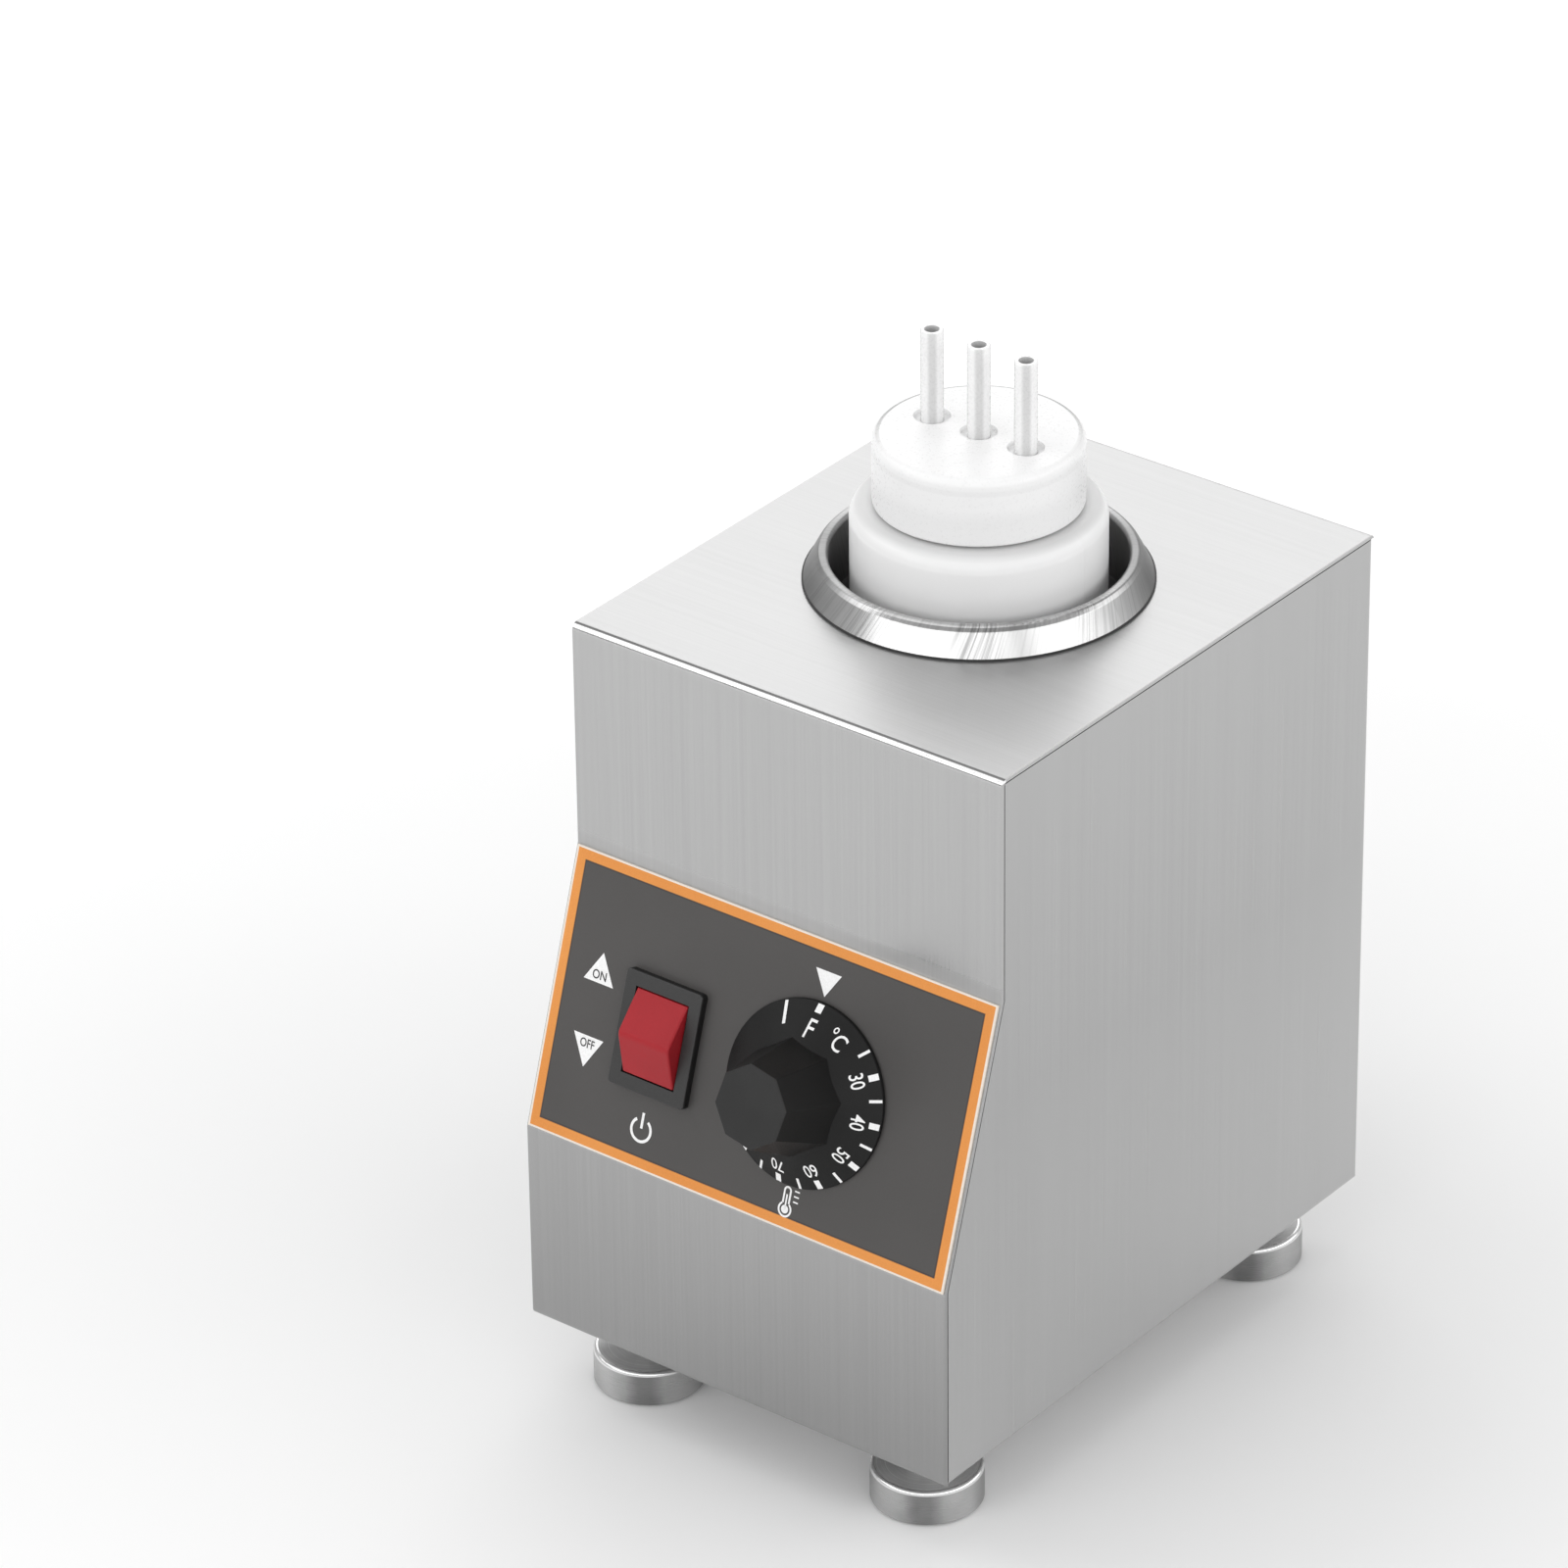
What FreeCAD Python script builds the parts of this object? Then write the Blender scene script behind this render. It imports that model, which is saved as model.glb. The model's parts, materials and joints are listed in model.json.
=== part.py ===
import FreeCAD, Part
import math
import os

V = FreeCAD.Vector

# Casing, millimetres
casing_width = 140.0
casing_depth = 191.0
casing_height = 203.0
upper_front_setback = 24.5
panel_low = 60.4
panel_high = 137.1
sheet = 1.2
bend_radius = 2.0
flange_width = 12.0
seam_gap = 0.3

# Feet
ground_clearance = 23.0
foot_radius = 15.4
foot_disc_height = 11.0
foot_side_inset = 22.6
foot_front_inset = 22.0
foot_rear_inset = 21.0
foot_neck_radius = 5.5
foot_stud_radius = 4.0
foot_stud_end = 2.0
foot_rim_round = 1.2
foot_heel_round = 0.4
foot_pad_radius = 13.0
foot_pad_height = 3.0
foot_pad_proud = 0.6
foot_nut_width = 13.0
foot_nut_height = 6.4

# Well and collar
well_front_distance = 108.75
collar_foot_radius = 46.6
collar_shoulder_radius = 43.4
collar_height = 8.1
collar_bore_radius = 39.86
collar_skirt_depth = 10.0
collar_sheet = 1.2
collar_lip_width = 2.54
collar_lip_round = 1.0
collar_edge_round = 1.4
gasket_thickness = 0.6
gasket_proud = 0.3
well_wall = 1.0
well_floor_height = 28.0
well_flange_radius = 56.0
well_stud_circle = 50.0
well_stud_length = 7.0
well_foot_round = 5.0

# Bottle, cap and spouts
bottle_radius = 34.27
bottle_shoulder_rise = 23.1
bottle_shoulder_round = 8.0
bottle_foot_round = 4.0
bottle_wall = 1.3
neck_radius = 24.4
neck_wall = 1.8
cap_radius = 28.24
cap_height = 19.4
cap_gap = 0.6
cap_wall = 1.8
cap_top = 2.4
cap_rim_round = 2.3
thread_pitch = 5.0
thread_turns = 1.25
thread_depth = 1.4
thread_root = 2.0
thread_crest = 1.0
thread_bite = 0.3
seal_thickness = 1.2
spout_spacing = 15.3
spout_radius = 3.1
spout_bore = 2.0
spout_rise = 25.4
spout_tip_round = 0.25
spout_pocket_radius = 5.0
spout_pocket_depth = 1.2
spout_flange_radius = 5.2
neck_lip_round = 0.6
cap_hem_round = 0.5
spout_flange_thickness = 1.6

# Control panel print, rocker switch and temperature dial
overlay_thickness = 0.5
overlay_margin = 0.5
switch_offset = -32.2
switch_drop = 2.65
bezel_width = 25.4
bezel_length = 32.2
bezel_rise = 2.5
bezel_corner = 1.2
bezel_edge_round = 0.3
housing_width = 21.8
housing_length = 28.8
housing_depth = 22.0
rocker_width = 17.0
rocker_length = 23.2
rocker_crown = 8.0
rocker_side_gap = 0.4
rocker_end_gap = 0.3
rocker_sunk = 8.0
rocker_tail = 3.5
rocker_ridge_round = 3.0
rocker_cheek_round = 0.6
pivot_depth = 2.0
pivot_pin_radius = 1.25
pivot_pin_length = 20.2
dial_offset = 16.5
dial_drop = 1.95
skirt_radius = 25.4
skirt_gap = 0.3
skirt_rim = 0.9
skirt_rim_round = 0.4
skirt_top = 6.5
skirt_wall = 1.6
grip_base_radius = 15.9
grip_top_radius = 11.4
knob_height = 25.0
grip_turn = 12.0
grip_sides = 8
grip_round = 0.5
grip_wall = 2.4
hub_relief_gap = 0.1
hub_radius = 6.5
shaft_radius = 3.0
shaft_flat = 1.5
shaft_reach = 18.0
bushing_radius = 5.0
bushing_rise = 1.0
thermostat_width = 42.0
thermostat_length = 34.0
thermostat_depth = 24.0
thermostat_screw_spacing = 28.0
thermostat_screw_grip = 5.0
thermostat_corner = 2.0
shaft_sink = 8.0

# Heater, sensor and insulation
heater_low = 12.0
heater_height = 60.0
heater_thickness = 2.0
heater_slit = 10.0
ear_length = 9.0
terminal_angle = -112.0
terminal_reach = 10.0
terminal_base = 3.0
stem_radius = 1.6
ear_slot_width = 28.0
sensor_radius = 3.0
sensor_length = 70.0
sensor_angle = -68.0
sensor_rise = 4.0
clip_thickness = 0.8
clip_height = 12.0
insulation_radius = 51.0
insulation_top_gap = 12.0
insulation_slot_width = 50.0
pad_radius = 43.5
pad_channel_width = 30.0
cutout_radius = 8.0
cutout_height = 10.0
cutout_pocket_radius = 13.0
cutout_neck = 2.0
capillary_radius = 0.9
capillary_bend = 4.0
capillary_rise = 9.0
capillary_drop = 30.0
capillary_entry = 12.0
cutout_flange_width = 2.0
cutout_flange_height = 1.5
sensor_round = 1.5

# Rear panel, base plate, inlet and fasteners
rear_sheet = 1.0
base_sheet = 1.2
vent_width = 34.0
vent_height = 3.2
vent_pitch = 9.0
vent_rows = 6
vent_low_share = 0.6
rear_screw_shares = (0.12, 0.5, 0.86)
base_screw_shares = (0.28, 0.72)
inlet_side_distance = 39.0
inlet_height = 27.0
inlet_flange_width = 50.0
inlet_flange_height = 24.0
inlet_flange = 2.5
inlet_body_width = 27.4
inlet_body_height = 20.0
inlet_body_depth = 15.0
inlet_recess_width = 24.0
inlet_recess_height = 16.4
inlet_recess_depth = 14.5
inlet_screw_spacing = 40.0
inlet_pin_thickness = 2.0
inlet_pin_width = 4.0
inlet_pin_spread = 7.0
inlet_pin_shift = 2.0
inlet_pin_recess = 4.0
inlet_flange_corner = 5.0
inlet_recess_corner = 3.0
screw_radius = 1.9
screw_head_radius = 3.6
screw_head_height = 2.2
screw_head_round = 1.2
screw_recess_width = 0.9
screw_recess_depth = 1.1
stud_radius = 2.0
nut_width = 7.0
nut_height = 3.2
nut_clearance = 0.03
earth_stud_offset = 23.0
earth_stud_setback = 14.0
earth_stud_height = 12.0
earth_collar_height = 1.5
earth_nut_rise = 3.5
fit_clearance = 0.05
blade_width = 6.3
blade_thickness = 0.8
blade_length = 7.0
lead_radius = 1.4
lead_bend = 5.0
lead_run = 9.0
sleeve_wall = 1.0
sleeve_overhang = 4.0
wall_lane_gap = 7.5
ring_thickness = 1.0
ring_gap = 1.0
barrel_length = 7.0
barrel_wall = 0.4
barrel_rise = 2.72

# An arc takes at most this share of the shorter run beside it
arc_share = 0.47

# Places that follow from the sizes
casing_bottom = ground_clearance
casing_top = casing_bottom + casing_height
panel_rise = panel_high - panel_low
panel_slope = math.hypot(upper_front_setback, panel_rise)
panel_tilt = math.degrees(math.atan2(upper_front_setback, panel_rise))
panel_face = overlay_thickness
grip_low_vertex = min(
    math.sin(math.radians(grip_turn + 360.0 * side / grip_sides)) for side in range(grip_sides))
knob_front_reach = (
    (panel_face + knob_height) * math.cos(math.radians(panel_tilt))
    - upper_front_setback / 2
    + (dial_drop - grip_top_radius * grip_low_vertex) * math.sin(math.radians(panel_tilt)))
rear_reach = inlet_flange + screw_head_height - sheet
front_y = (knob_front_reach - rear_reach - casing_depth) / 2
rear_y = front_y + casing_depth
upper_front_y = front_y + upper_front_setback
well_y = front_y + well_front_distance
half_width = casing_width / 2
panel_origin = V(0, front_y + upper_front_setback / 2, casing_bottom + (panel_low + panel_high) / 2)
base_top = casing_bottom + sheet + base_sheet
top_underside = casing_top - sheet
skirt_outer_radius = collar_bore_radius + collar_sheet
plate_hole_radius = skirt_outer_radius + seam_gap
well_radius = skirt_outer_radius + fit_clearance
well_outer_radius = well_radius + well_wall
well_floor = casing_bottom + well_floor_height
heater_bottom = well_floor + heater_low
heater_top = heater_bottom + heater_height
heater_inner = well_outer_radius + fit_clearance
heater_outer = heater_inner + heater_thickness
insulation_bore = heater_outer + fit_clearance
insulation_top = top_underside - insulation_top_gap
shoulder_z = casing_top + bottle_shoulder_rise
cap_bottom_z = shoulder_z + cap_gap
cap_top_z = cap_bottom_z + cap_height
cap_ceiling_z = cap_top_z - cap_top
neck_top_z = cap_ceiling_z - seal_thickness
cap_inner_radius = cap_radius - cap_wall
neck_thread_z = cap_bottom_z + cap_gap + thread_pitch
spout_places = {"spout_left": -spout_spacing, "spout_middle": 0.0, "spout_right": spout_spacing}
rocker_end = math.hypot(rocker_length / 2, pivot_depth)
cavity_width = rocker_width + 2 * rocker_side_gap
cavity_length = 2 * (rocker_end + rocker_end_gap)
bezel_face = panel_face + bezel_rise
pivot_z = bezel_face - pivot_depth
rear_panel_outer = rear_y - sheet
rear_panel_inner = rear_panel_outer - rear_sheet
flange_inner = half_width - flange_width
flange_middle = half_width - flange_width / 2
inlet_x = -half_width + inlet_side_distance
inlet_z = casing_bottom + inlet_height
wall_lane_x = min(-half_width + sheet + wall_lane_gap, -insulation_radius - lead_radius - seam_gap)
cutout_low_z = well_floor - well_wall - cutout_height
cutout_blade_root = blade_width / 2
cutout_blade_z = cutout_low_z - cutout_neck - blade_width / 2
foot_places = {
    "front_left": (-half_width + foot_side_inset, front_y + foot_front_inset),
    "front_right": (half_width - foot_side_inset, front_y + foot_front_inset),
    "rear_left": (-half_width + foot_side_inset, rear_y - foot_rear_inset),
    "rear_right": (half_width - foot_side_inset, rear_y - foot_rear_inset),
}


# Shapes used by several pieces

def box(x0, x1, y0, y1, z0, z1):
    return Part.makeBox(x1 - x0, y1 - y0, z1 - z0, V(x0, y0, z0))


def centred_box(width, length, low, high, x=0.0, y=0.0):
    return box(x - width / 2, x + width / 2, y - length / 2, y + length / 2, low, high)


def cylinder(radius, low, high, x=0.0, y=0.0):
    return Part.makeCylinder(radius, high - low, V(x, y, low))


def ring(outer, inner, low, high, x=0.0, y=0.0):
    return cylinder(outer, low, high, x, y).cut(cylinder(inner, low - 1, high + 1, x, y))


def joined(shapes):
    result = shapes[0]
    if len(shapes) > 1:
        result = result.fuse(shapes[1:])
    return result.removeSplitter()


def group(shapes):
    return Part.makeCompound(shapes)


def rounded_wire(corners, closed=True):
    """Wire through (point, radius) corners, where an arc tangent to both runs rounds each corner."""
    count = len(corners)
    stops = []
    for index, (corner, radius) in enumerate(corners):
        at_end = not closed and index in (0, count - 1)
        if radius == 0 or at_end:
            stops.append((corner, None, corner))
            continue
        back = (corners[index - 1][0] - corner).normalize()
        ahead = (corners[(index + 1) % count][0] - corner).normalize()
        half = back.getAngle(ahead) / 2
        shorter_run = min(corners[index - 1][0].distanceToPoint(corner),
                          corners[(index + 1) % count][0].distanceToPoint(corner))
        reach = min(radius / math.tan(half), arc_share * shorter_run)
        radius = reach * math.tan(half)
        inward = (back + ahead).normalize()
        middle = corner + inward * (radius / math.sin(half) - radius)
        stops.append((corner + back * reach, middle, corner + ahead * reach))
    edges = []
    for index, (start, middle, end) in enumerate(stops):
        if middle is not None:
            edges.append(Part.Arc(start, middle, end).toShape())
        if closed or index < count - 1:
            following = stops[(index + 1) % count][0]
            edges.append(Part.LineSegment(end, following).toShape())
    return Part.Wire(edges)


def side_profile(corners, x0, x1):
    """Solid between x0 and x1 with an outline of (y, z, radius) corners."""
    wire = rounded_wire([(V(x0, y, z), radius) for y, z, radius in corners])
    return Part.Face(wire).extrude(V(x1 - x0, 0, 0))


def turned(corners, x=0.0, y=0.0):
    """Solid turned about a vertical axis from an outline of (distance, height, radius) corners."""
    wire = rounded_wire([(V(x + out, y, z), radius) for out, z, radius in corners])
    return Part.Face(wire).revolve(V(x, y, 0), V(0, 0, 1), 360)


def on_panel(shape, x=0.0, drop=0.0):
    """Shape drawn with Z out of the panel and Y up its slope, moved to its place on the panel."""
    placed = shape.copy()
    placed.translate(V(x, -drop, 0))
    placed.rotate(V(0, 0, 0), V(1, 0, 0), 90.0 - panel_tilt)
    placed.translate(panel_origin)
    return placed


def panel_point(x, up, out):
    turn = FreeCAD.Rotation(V(1, 0, 0), 90.0 - panel_tilt)
    return turn.multVec(V(x, up, out)) + panel_origin


def facing_rear(shape, x, z):
    """Shape drawn with Z out of the rear panel, moved so that Z = 0 is the panel's outer face."""
    placed = shape.copy()
    placed.rotate(V(0, 0, 0), V(1, 0, 0), -90)
    placed.translate(V(x, rear_panel_outer, z))
    return placed


def hexagon(across, low, high, x=0.0, y=0.0):
    radius = across / math.sqrt(3)
    corners = [V(x + radius * math.cos(math.radians(60 * side)),
                 y + radius * math.sin(math.radians(60 * side)), low) for side in range(7)]
    return Part.Face(Part.makePolygon(corners)).extrude(V(0, 0, high - low))


def pan_screw(length):
    """Pan head screw along Z with the underside of its head at Z = 0."""
    head = turned([(0, 0, 0), (screw_head_radius, 0, 0),
                   (screw_head_radius, screw_head_height, screw_head_round), (0, screw_head_height, 0)])
    low = screw_head_height - screw_recess_depth
    high = screw_head_height + 1
    recess = centred_box(screw_head_radius, screw_recess_width, low, high)
    recess = recess.fuse(centred_box(screw_recess_width, screw_head_radius, low, high))
    return joined([head, cylinder(screw_radius, -length, low)]).cut(recess)


def tube_along(points, radius, bend):
    """Round wire along straight runs that arcs of the bend radius join."""
    path = rounded_wire([(point, bend) for point in points], closed=False)
    section = Part.Wire(Part.Circle(points[0], points[1] - points[0], radius).toShape())
    tube = path.makePipeShell([section], True, False)
    expected = math.pi * radius * radius * path.Length
    print("wire volume share of section times length: %.4f" % (tube.Volume / expected))
    return tube


def thread_ridge(radius, low, outward):
    """Ridge of one and a quarter turns, rooted slightly in the wall at the given radius."""
    sign = 1 if outward else -1
    root = radius - sign * thread_bite
    crest = radius + sign * thread_depth
    corners = [V(root, 0, low - thread_root / 2), V(crest, 0, low - thread_crest / 2),
               V(crest, 0, low + thread_crest / 2), V(root, 0, low + thread_root / 2)]
    section = Part.makePolygon(corners + corners[:1])
    helix = Part.makeHelix(thread_pitch, thread_pitch * thread_turns, radius)
    helix.translate(V(0, 0, low))
    ridge = Part.Wire(helix.Edges).makePipeShell([section], True, True)
    ridge.translate(V(0, well_y, 0))
    return ridge


# Casing: front and top sheet, side sheets, rear panel and base plate

def casing_outline(inset, rear_inset, low_inset, radius):
    """Side outline of the casing, moved inwards by the given amounts, as (y, z, radius) corners."""
    tilt = math.radians(panel_tilt)
    shift = inset * math.tan(tilt / 2)
    return [
        (front_y + inset, casing_bottom + low_inset, radius),
        (front_y + inset, casing_bottom + panel_low + shift, radius),
        (upper_front_y + inset, casing_bottom + panel_high + shift, radius),
        (upper_front_y + inset, casing_top - inset, radius),
        (rear_y - rear_inset, casing_top - inset, radius),
        (rear_y - rear_inset, casing_bottom + low_inset, radius),
    ]


def make_casing_wrap():
    outer = side_profile(casing_outline(0, 0, 0, bend_radius), -half_width, half_width)
    inner_corners = casing_outline(sheet, sheet, sheet, bend_radius - sheet)
    wrap = outer.cut(side_profile(inner_corners, -half_width - 1, half_width + 1))
    rear_cut = box(-half_width - 1, half_width + 1, rear_y - sheet - 0.01, rear_y + 1,
                   casing_bottom - 1, casing_top - flange_width)
    low_cut = box(-half_width - 1, half_width + 1, front_y + flange_width, rear_y + 1,
                  casing_bottom - 1, casing_bottom + sheet + bend_radius)
    wrap = wrap.cut(rear_cut).cut(low_cut)
    for side in (-1, 1):
        edge = flange_inner - seam_gap
        low_x = min(side * edge, side * (half_width + 1))
        high_x = max(side * edge, side * (half_width + 1))
        wrap = wrap.cut(box(low_x, high_x, rear_y - bend_radius, rear_y + 1,
                            casing_bottom - 1, top_underside))
        wrap = wrap.cut(box(low_x, high_x, front_y + sheet, front_y + flange_width + 1,
                            casing_bottom - 1, casing_bottom + bend_radius))
    wrap = wrap.cut(cylinder(plate_hole_radius, top_underside - 1, casing_top + 1, 0, well_y))
    wrap = wrap.cut(on_panel(centred_box(housing_width + 2 * seam_gap, housing_length + 2 * seam_gap,
                                         -3 * sheet, 3 * sheet), switch_offset, switch_drop))
    wrap = wrap.cut(on_panel(cylinder(bushing_radius + seam_gap, -3 * sheet, 3 * sheet),
                             dial_offset, dial_drop))
    for side in (-1, 1):
        hole = cylinder(screw_radius + fit_clearance, -3 * sheet, 3 * sheet,
                        side * thermostat_screw_spacing / 2)
        wrap = wrap.cut(on_panel(hole, dial_offset, dial_drop))
    studs = [cylinder(stud_radius, top_underside - well_stud_length, top_underside + sheet / 2, x, y)
             for x, y in well_stud_places()]
    for x, z in rear_screw_places():
        wrap = wrap.cut(rear_hole(x, z))
    return joined([wrap] + studs)


def well_stud_places():
    offset = well_stud_circle / math.sqrt(2)
    return [(x, well_y + y) for x in (-offset, offset) for y in (-offset, offset)]


def rear_screw_places():
    side_heights = [casing_bottom + casing_height * share for share in rear_screw_shares]
    places = [(side * flange_middle, z) for side in (-1, 1) for z in side_heights]
    top_z = casing_top - flange_width / 2
    return places + [(side * flange_middle / 2, top_z) for side in (-1, 1)]


def base_screw_places():
    return [(side * flange_middle, front_y + casing_depth * share)
            for side in (-1, 1) for share in base_screw_shares]


def rear_hole(x, z):
    hole = cylinder(screw_radius + fit_clearance, -2 * sheet - rear_sheet, 3 * sheet)
    return facing_rear(hole, x, z)


def make_side_panel(side):
    inset = sheet + seam_gap
    outer = side_profile(casing_outline(inset, 0, 0, 0), flange_inner, half_width)
    rear_edges = [edge for edge in outer.Edges
                  if edge.BoundBox.XMin > half_width - 0.01
                  and (edge.BoundBox.YMin > rear_y - 0.01 or edge.BoundBox.ZMax < casing_bottom + 0.01)]
    outer = outer.makeFillet(bend_radius, rear_edges)
    inner = side_profile(casing_outline(inset + sheet, sheet, sheet, 0),
                         flange_inner - 1, half_width - sheet)
    inner_edges = [edge for edge in inner.Edges
                   if edge.BoundBox.XMin > half_width - sheet - 0.01
                   and (edge.BoundBox.YMin > rear_y - sheet - 0.01
                        or edge.BoundBox.ZMax < casing_bottom + sheet + 0.01)]
    panel = outer.cut(inner.makeFillet(bend_radius - sheet, inner_edges))
    for x, z in rear_screw_places():
        panel = panel.cut(rear_hole(x, z))
    for x, y in base_screw_places():
        panel = panel.cut(cylinder(screw_radius + fit_clearance, casing_bottom - 1, base_top, x, y))
    if side < 0:
        panel = panel.mirror(V(0, 0, 0), V(1, 0, 0))
    return panel


def vent_slot(x, low_y, high_y):
    """Round-ended slot along X, cut through Z between two heights."""
    half = vent_width / 2 - vent_height / 2
    body = box(x - half, x + half, -vent_height / 2, vent_height / 2, low_y, high_y)
    ends = [cylinder(vent_height / 2, low_y, high_y, x + side * half) for side in (-1, 1)]
    return joined([body] + ends)


def make_rear_panel():
    reach = half_width - bend_radius - seam_gap
    top = casing_top - 2 * sheet - 2 * seam_gap
    panel = box(-reach, reach, rear_panel_inner, rear_panel_outer, base_top + seam_gap, top)
    for x, z in rear_screw_places():
        panel = panel.cut(rear_hole(x, z))
    first = casing_bottom + casing_height * vent_low_share
    for row in range(vent_rows):
        for side in (-1, 1):
            slot = vent_slot(side * (vent_width / 2 + vent_height), -2 * rear_sheet, 2 * rear_sheet)
            panel = panel.cut(facing_rear(slot, 0, first + row * vent_pitch))
    opening = centred_box(inlet_body_width + 2 * seam_gap, inlet_body_height + 2 * seam_gap,
                          -2 * rear_sheet, 2 * rear_sheet)
    panel = panel.cut(facing_rear(opening, inlet_x, inlet_z))
    for side in (-1, 1):
        panel = panel.cut(rear_hole(inlet_x + side * inlet_screw_spacing / 2, inlet_z))
    return panel


def make_base_plate():
    reach = half_width - bend_radius - seam_gap
    front = front_y + 2 * sheet + 2 * seam_gap
    plate = box(-reach, reach, front, rear_panel_inner - seam_gap, base_top - base_sheet, base_top)
    for x, y in base_screw_places():
        plate = plate.cut(cylinder(screw_radius + fit_clearance, casing_bottom, base_top + 1, x, y))
    for x, y in foot_places.values():
        plate = plate.cut(cylinder(foot_stud_radius + fit_clearance, casing_bottom, base_top + 1, x, y))
    for row in range(vent_rows):
        for side in (-1, 1):
            slot = vent_slot(side * (vent_width / 2 + vent_height), casing_bottom, base_top + 1)
            slot.translate(V(0, well_y - (vent_rows - 1) * vent_pitch / 2 + row * vent_pitch, 0))
            plate = plate.cut(slot)
    return plate


def make_rear_panel_screws():
    screws = []
    for x, z in rear_screw_places():
        screw = pan_screw(sheet + 2 * rear_sheet)
        screw.translate(V(0, 0, sheet))
        screws.append(facing_rear(screw, x, z))
    return group(screws)


def make_base_plate_screws():
    screws = []
    for x, y in base_screw_places():
        screw = pan_screw(sheet + 2 * base_sheet)
        screw.rotate(V(0, 0, 0), V(1, 0, 0), 180)
        screw.translate(V(x, y, casing_bottom))
        screws.append(screw)
    return group(screws)


# Feet

def make_foot(x, y):
    disc = turned([(0, foot_pad_proud, 0), (foot_radius, foot_pad_proud, foot_heel_round),
                   (foot_radius, foot_disc_height, foot_rim_round), (0, foot_disc_height, 0)], x, y)
    recess = cylinder(foot_pad_radius + fit_clearance, 0, foot_pad_height, x, y)
    neck = cylinder(foot_neck_radius, foot_pad_height, base_top - base_sheet, x, y)
    stud = cylinder(foot_stud_radius, foot_disc_height, base_top + foot_nut_height + foot_stud_end, x, y)
    return joined([disc.cut(recess), neck, stud])


def make_foot_pads():
    return group([cylinder(foot_pad_radius, 0, foot_pad_height, x, y) for x, y in foot_places.values()])


def make_foot_nuts():
    high = base_top + foot_nut_height
    nuts = []
    for x, y in foot_places.values():
        nut = hexagon(foot_nut_width, base_top, high, x, y)
        nuts.append(nut.cut(cylinder(foot_stud_radius + nut_clearance, base_top - 1, high + 1, x, y)))
    return group(nuts)


# Collar, gasket, heated well and its fastening

def make_well_collar():
    foot = gasket_thickness
    outer = [
        (collar_foot_radius, foot, 0),
        (collar_shoulder_radius, collar_height - collar_sheet, collar_edge_round),
        (collar_bore_radius + collar_lip_width, collar_height, collar_lip_round),
        (collar_bore_radius, collar_height, collar_edge_round),
        (collar_bore_radius, -collar_skirt_depth, 0),
        (skirt_outer_radius, -collar_skirt_depth, 0),
        (skirt_outer_radius, collar_height - 2 * collar_sheet, 0),
        (collar_shoulder_radius - collar_sheet, collar_height - 2 * collar_sheet, 0),
        (collar_foot_radius - collar_sheet, foot, 0),
    ]
    return turned([(out, casing_top + z, radius) for out, z, radius in outer], 0, well_y)


def make_collar_gasket():
    return ring(collar_foot_radius + gasket_proud, plate_hole_radius + seam_gap,
                casing_top, casing_top + gasket_thickness, 0, well_y)


def make_heating_well():
    floor = well_floor
    pot = turned([
        (0, floor - well_wall, 0),
        (well_outer_radius, floor - well_wall, well_foot_round),
        (well_outer_radius, top_underside - well_wall, 0),
        (well_flange_radius, top_underside - well_wall, 0),
        (well_flange_radius, top_underside, 0),
        (well_radius, top_underside, 0),
        (well_radius, floor, well_foot_round - well_wall),
        (0, floor, 0),
    ], 0, well_y)
    for side in (-1, 1):
        near_x, far_x = sorted((side * (flange_inner - seam_gap), side * (half_width + well_flange_radius)))
        pot = pot.cut(box(near_x, far_x, well_y - well_flange_radius - 1, well_y + well_flange_radius + 1,
                          well_floor, top_underside + 1))
    for x, y in well_stud_places():
        pot = pot.cut(cylinder(stud_radius + fit_clearance, top_underside - 2, top_underside + 1, x, y))
    return pot


def make_well_nuts():
    high = top_underside - well_wall
    nuts = []
    for x, y in well_stud_places():
        nut = hexagon(nut_width, high - nut_height, high, x, y)
        nuts.append(nut.cut(cylinder(stud_radius + nut_clearance, high - 10, high + 1, x, y)))
    return group(nuts)


# Bottle, cap, seal and spouts

def make_bottle_body():
    outer = turned([
        (0, well_floor, 0),
        (bottle_radius, well_floor, bottle_foot_round),
        (bottle_radius, shoulder_z, bottle_shoulder_round),
        (neck_radius, shoulder_z, 0),
        (neck_radius, neck_top_z, neck_lip_round),
        (0, neck_top_z, 0),
    ], 0, well_y)
    ridge = thread_ridge(neck_radius, neck_thread_z, True)
    inner = turned([
        (0, well_floor + bottle_wall, 0),
        (bottle_radius - bottle_wall, well_floor + bottle_wall, bottle_foot_round - bottle_wall),
        (bottle_radius - bottle_wall, shoulder_z - bottle_wall, bottle_shoulder_round - bottle_wall),
        (neck_radius - neck_wall, shoulder_z - bottle_wall, 0),
        (neck_radius - neck_wall, neck_top_z + 1, 0),
        (0, neck_top_z + 1, 0),
    ], 0, well_y)
    return joined([outer, ridge]).cut(inner)


def make_bottle_cap():
    shell = turned([
        (cap_inner_radius, cap_bottom_z, 0),
        (cap_radius, cap_bottom_z, cap_hem_round),
        (cap_radius, cap_top_z, cap_rim_round),
        (0, cap_top_z, 0),
        (0, cap_ceiling_z, 0),
        (cap_inner_radius, cap_ceiling_z, 0),
    ], 0, well_y)
    ridge = thread_ridge(cap_inner_radius, neck_thread_z - thread_pitch / 2, False)
    cap = joined([shell, ridge])
    for x in spout_places.values():
        pocket_z = cap_top_z - spout_pocket_depth
        cap = cap.cut(cylinder(spout_pocket_radius, pocket_z, cap_top_z + 1, x, well_y))
        cap = cap.cut(cylinder(spout_radius + fit_clearance, cap_ceiling_z - 1, cap_top_z, x, well_y))
    return cap


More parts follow.
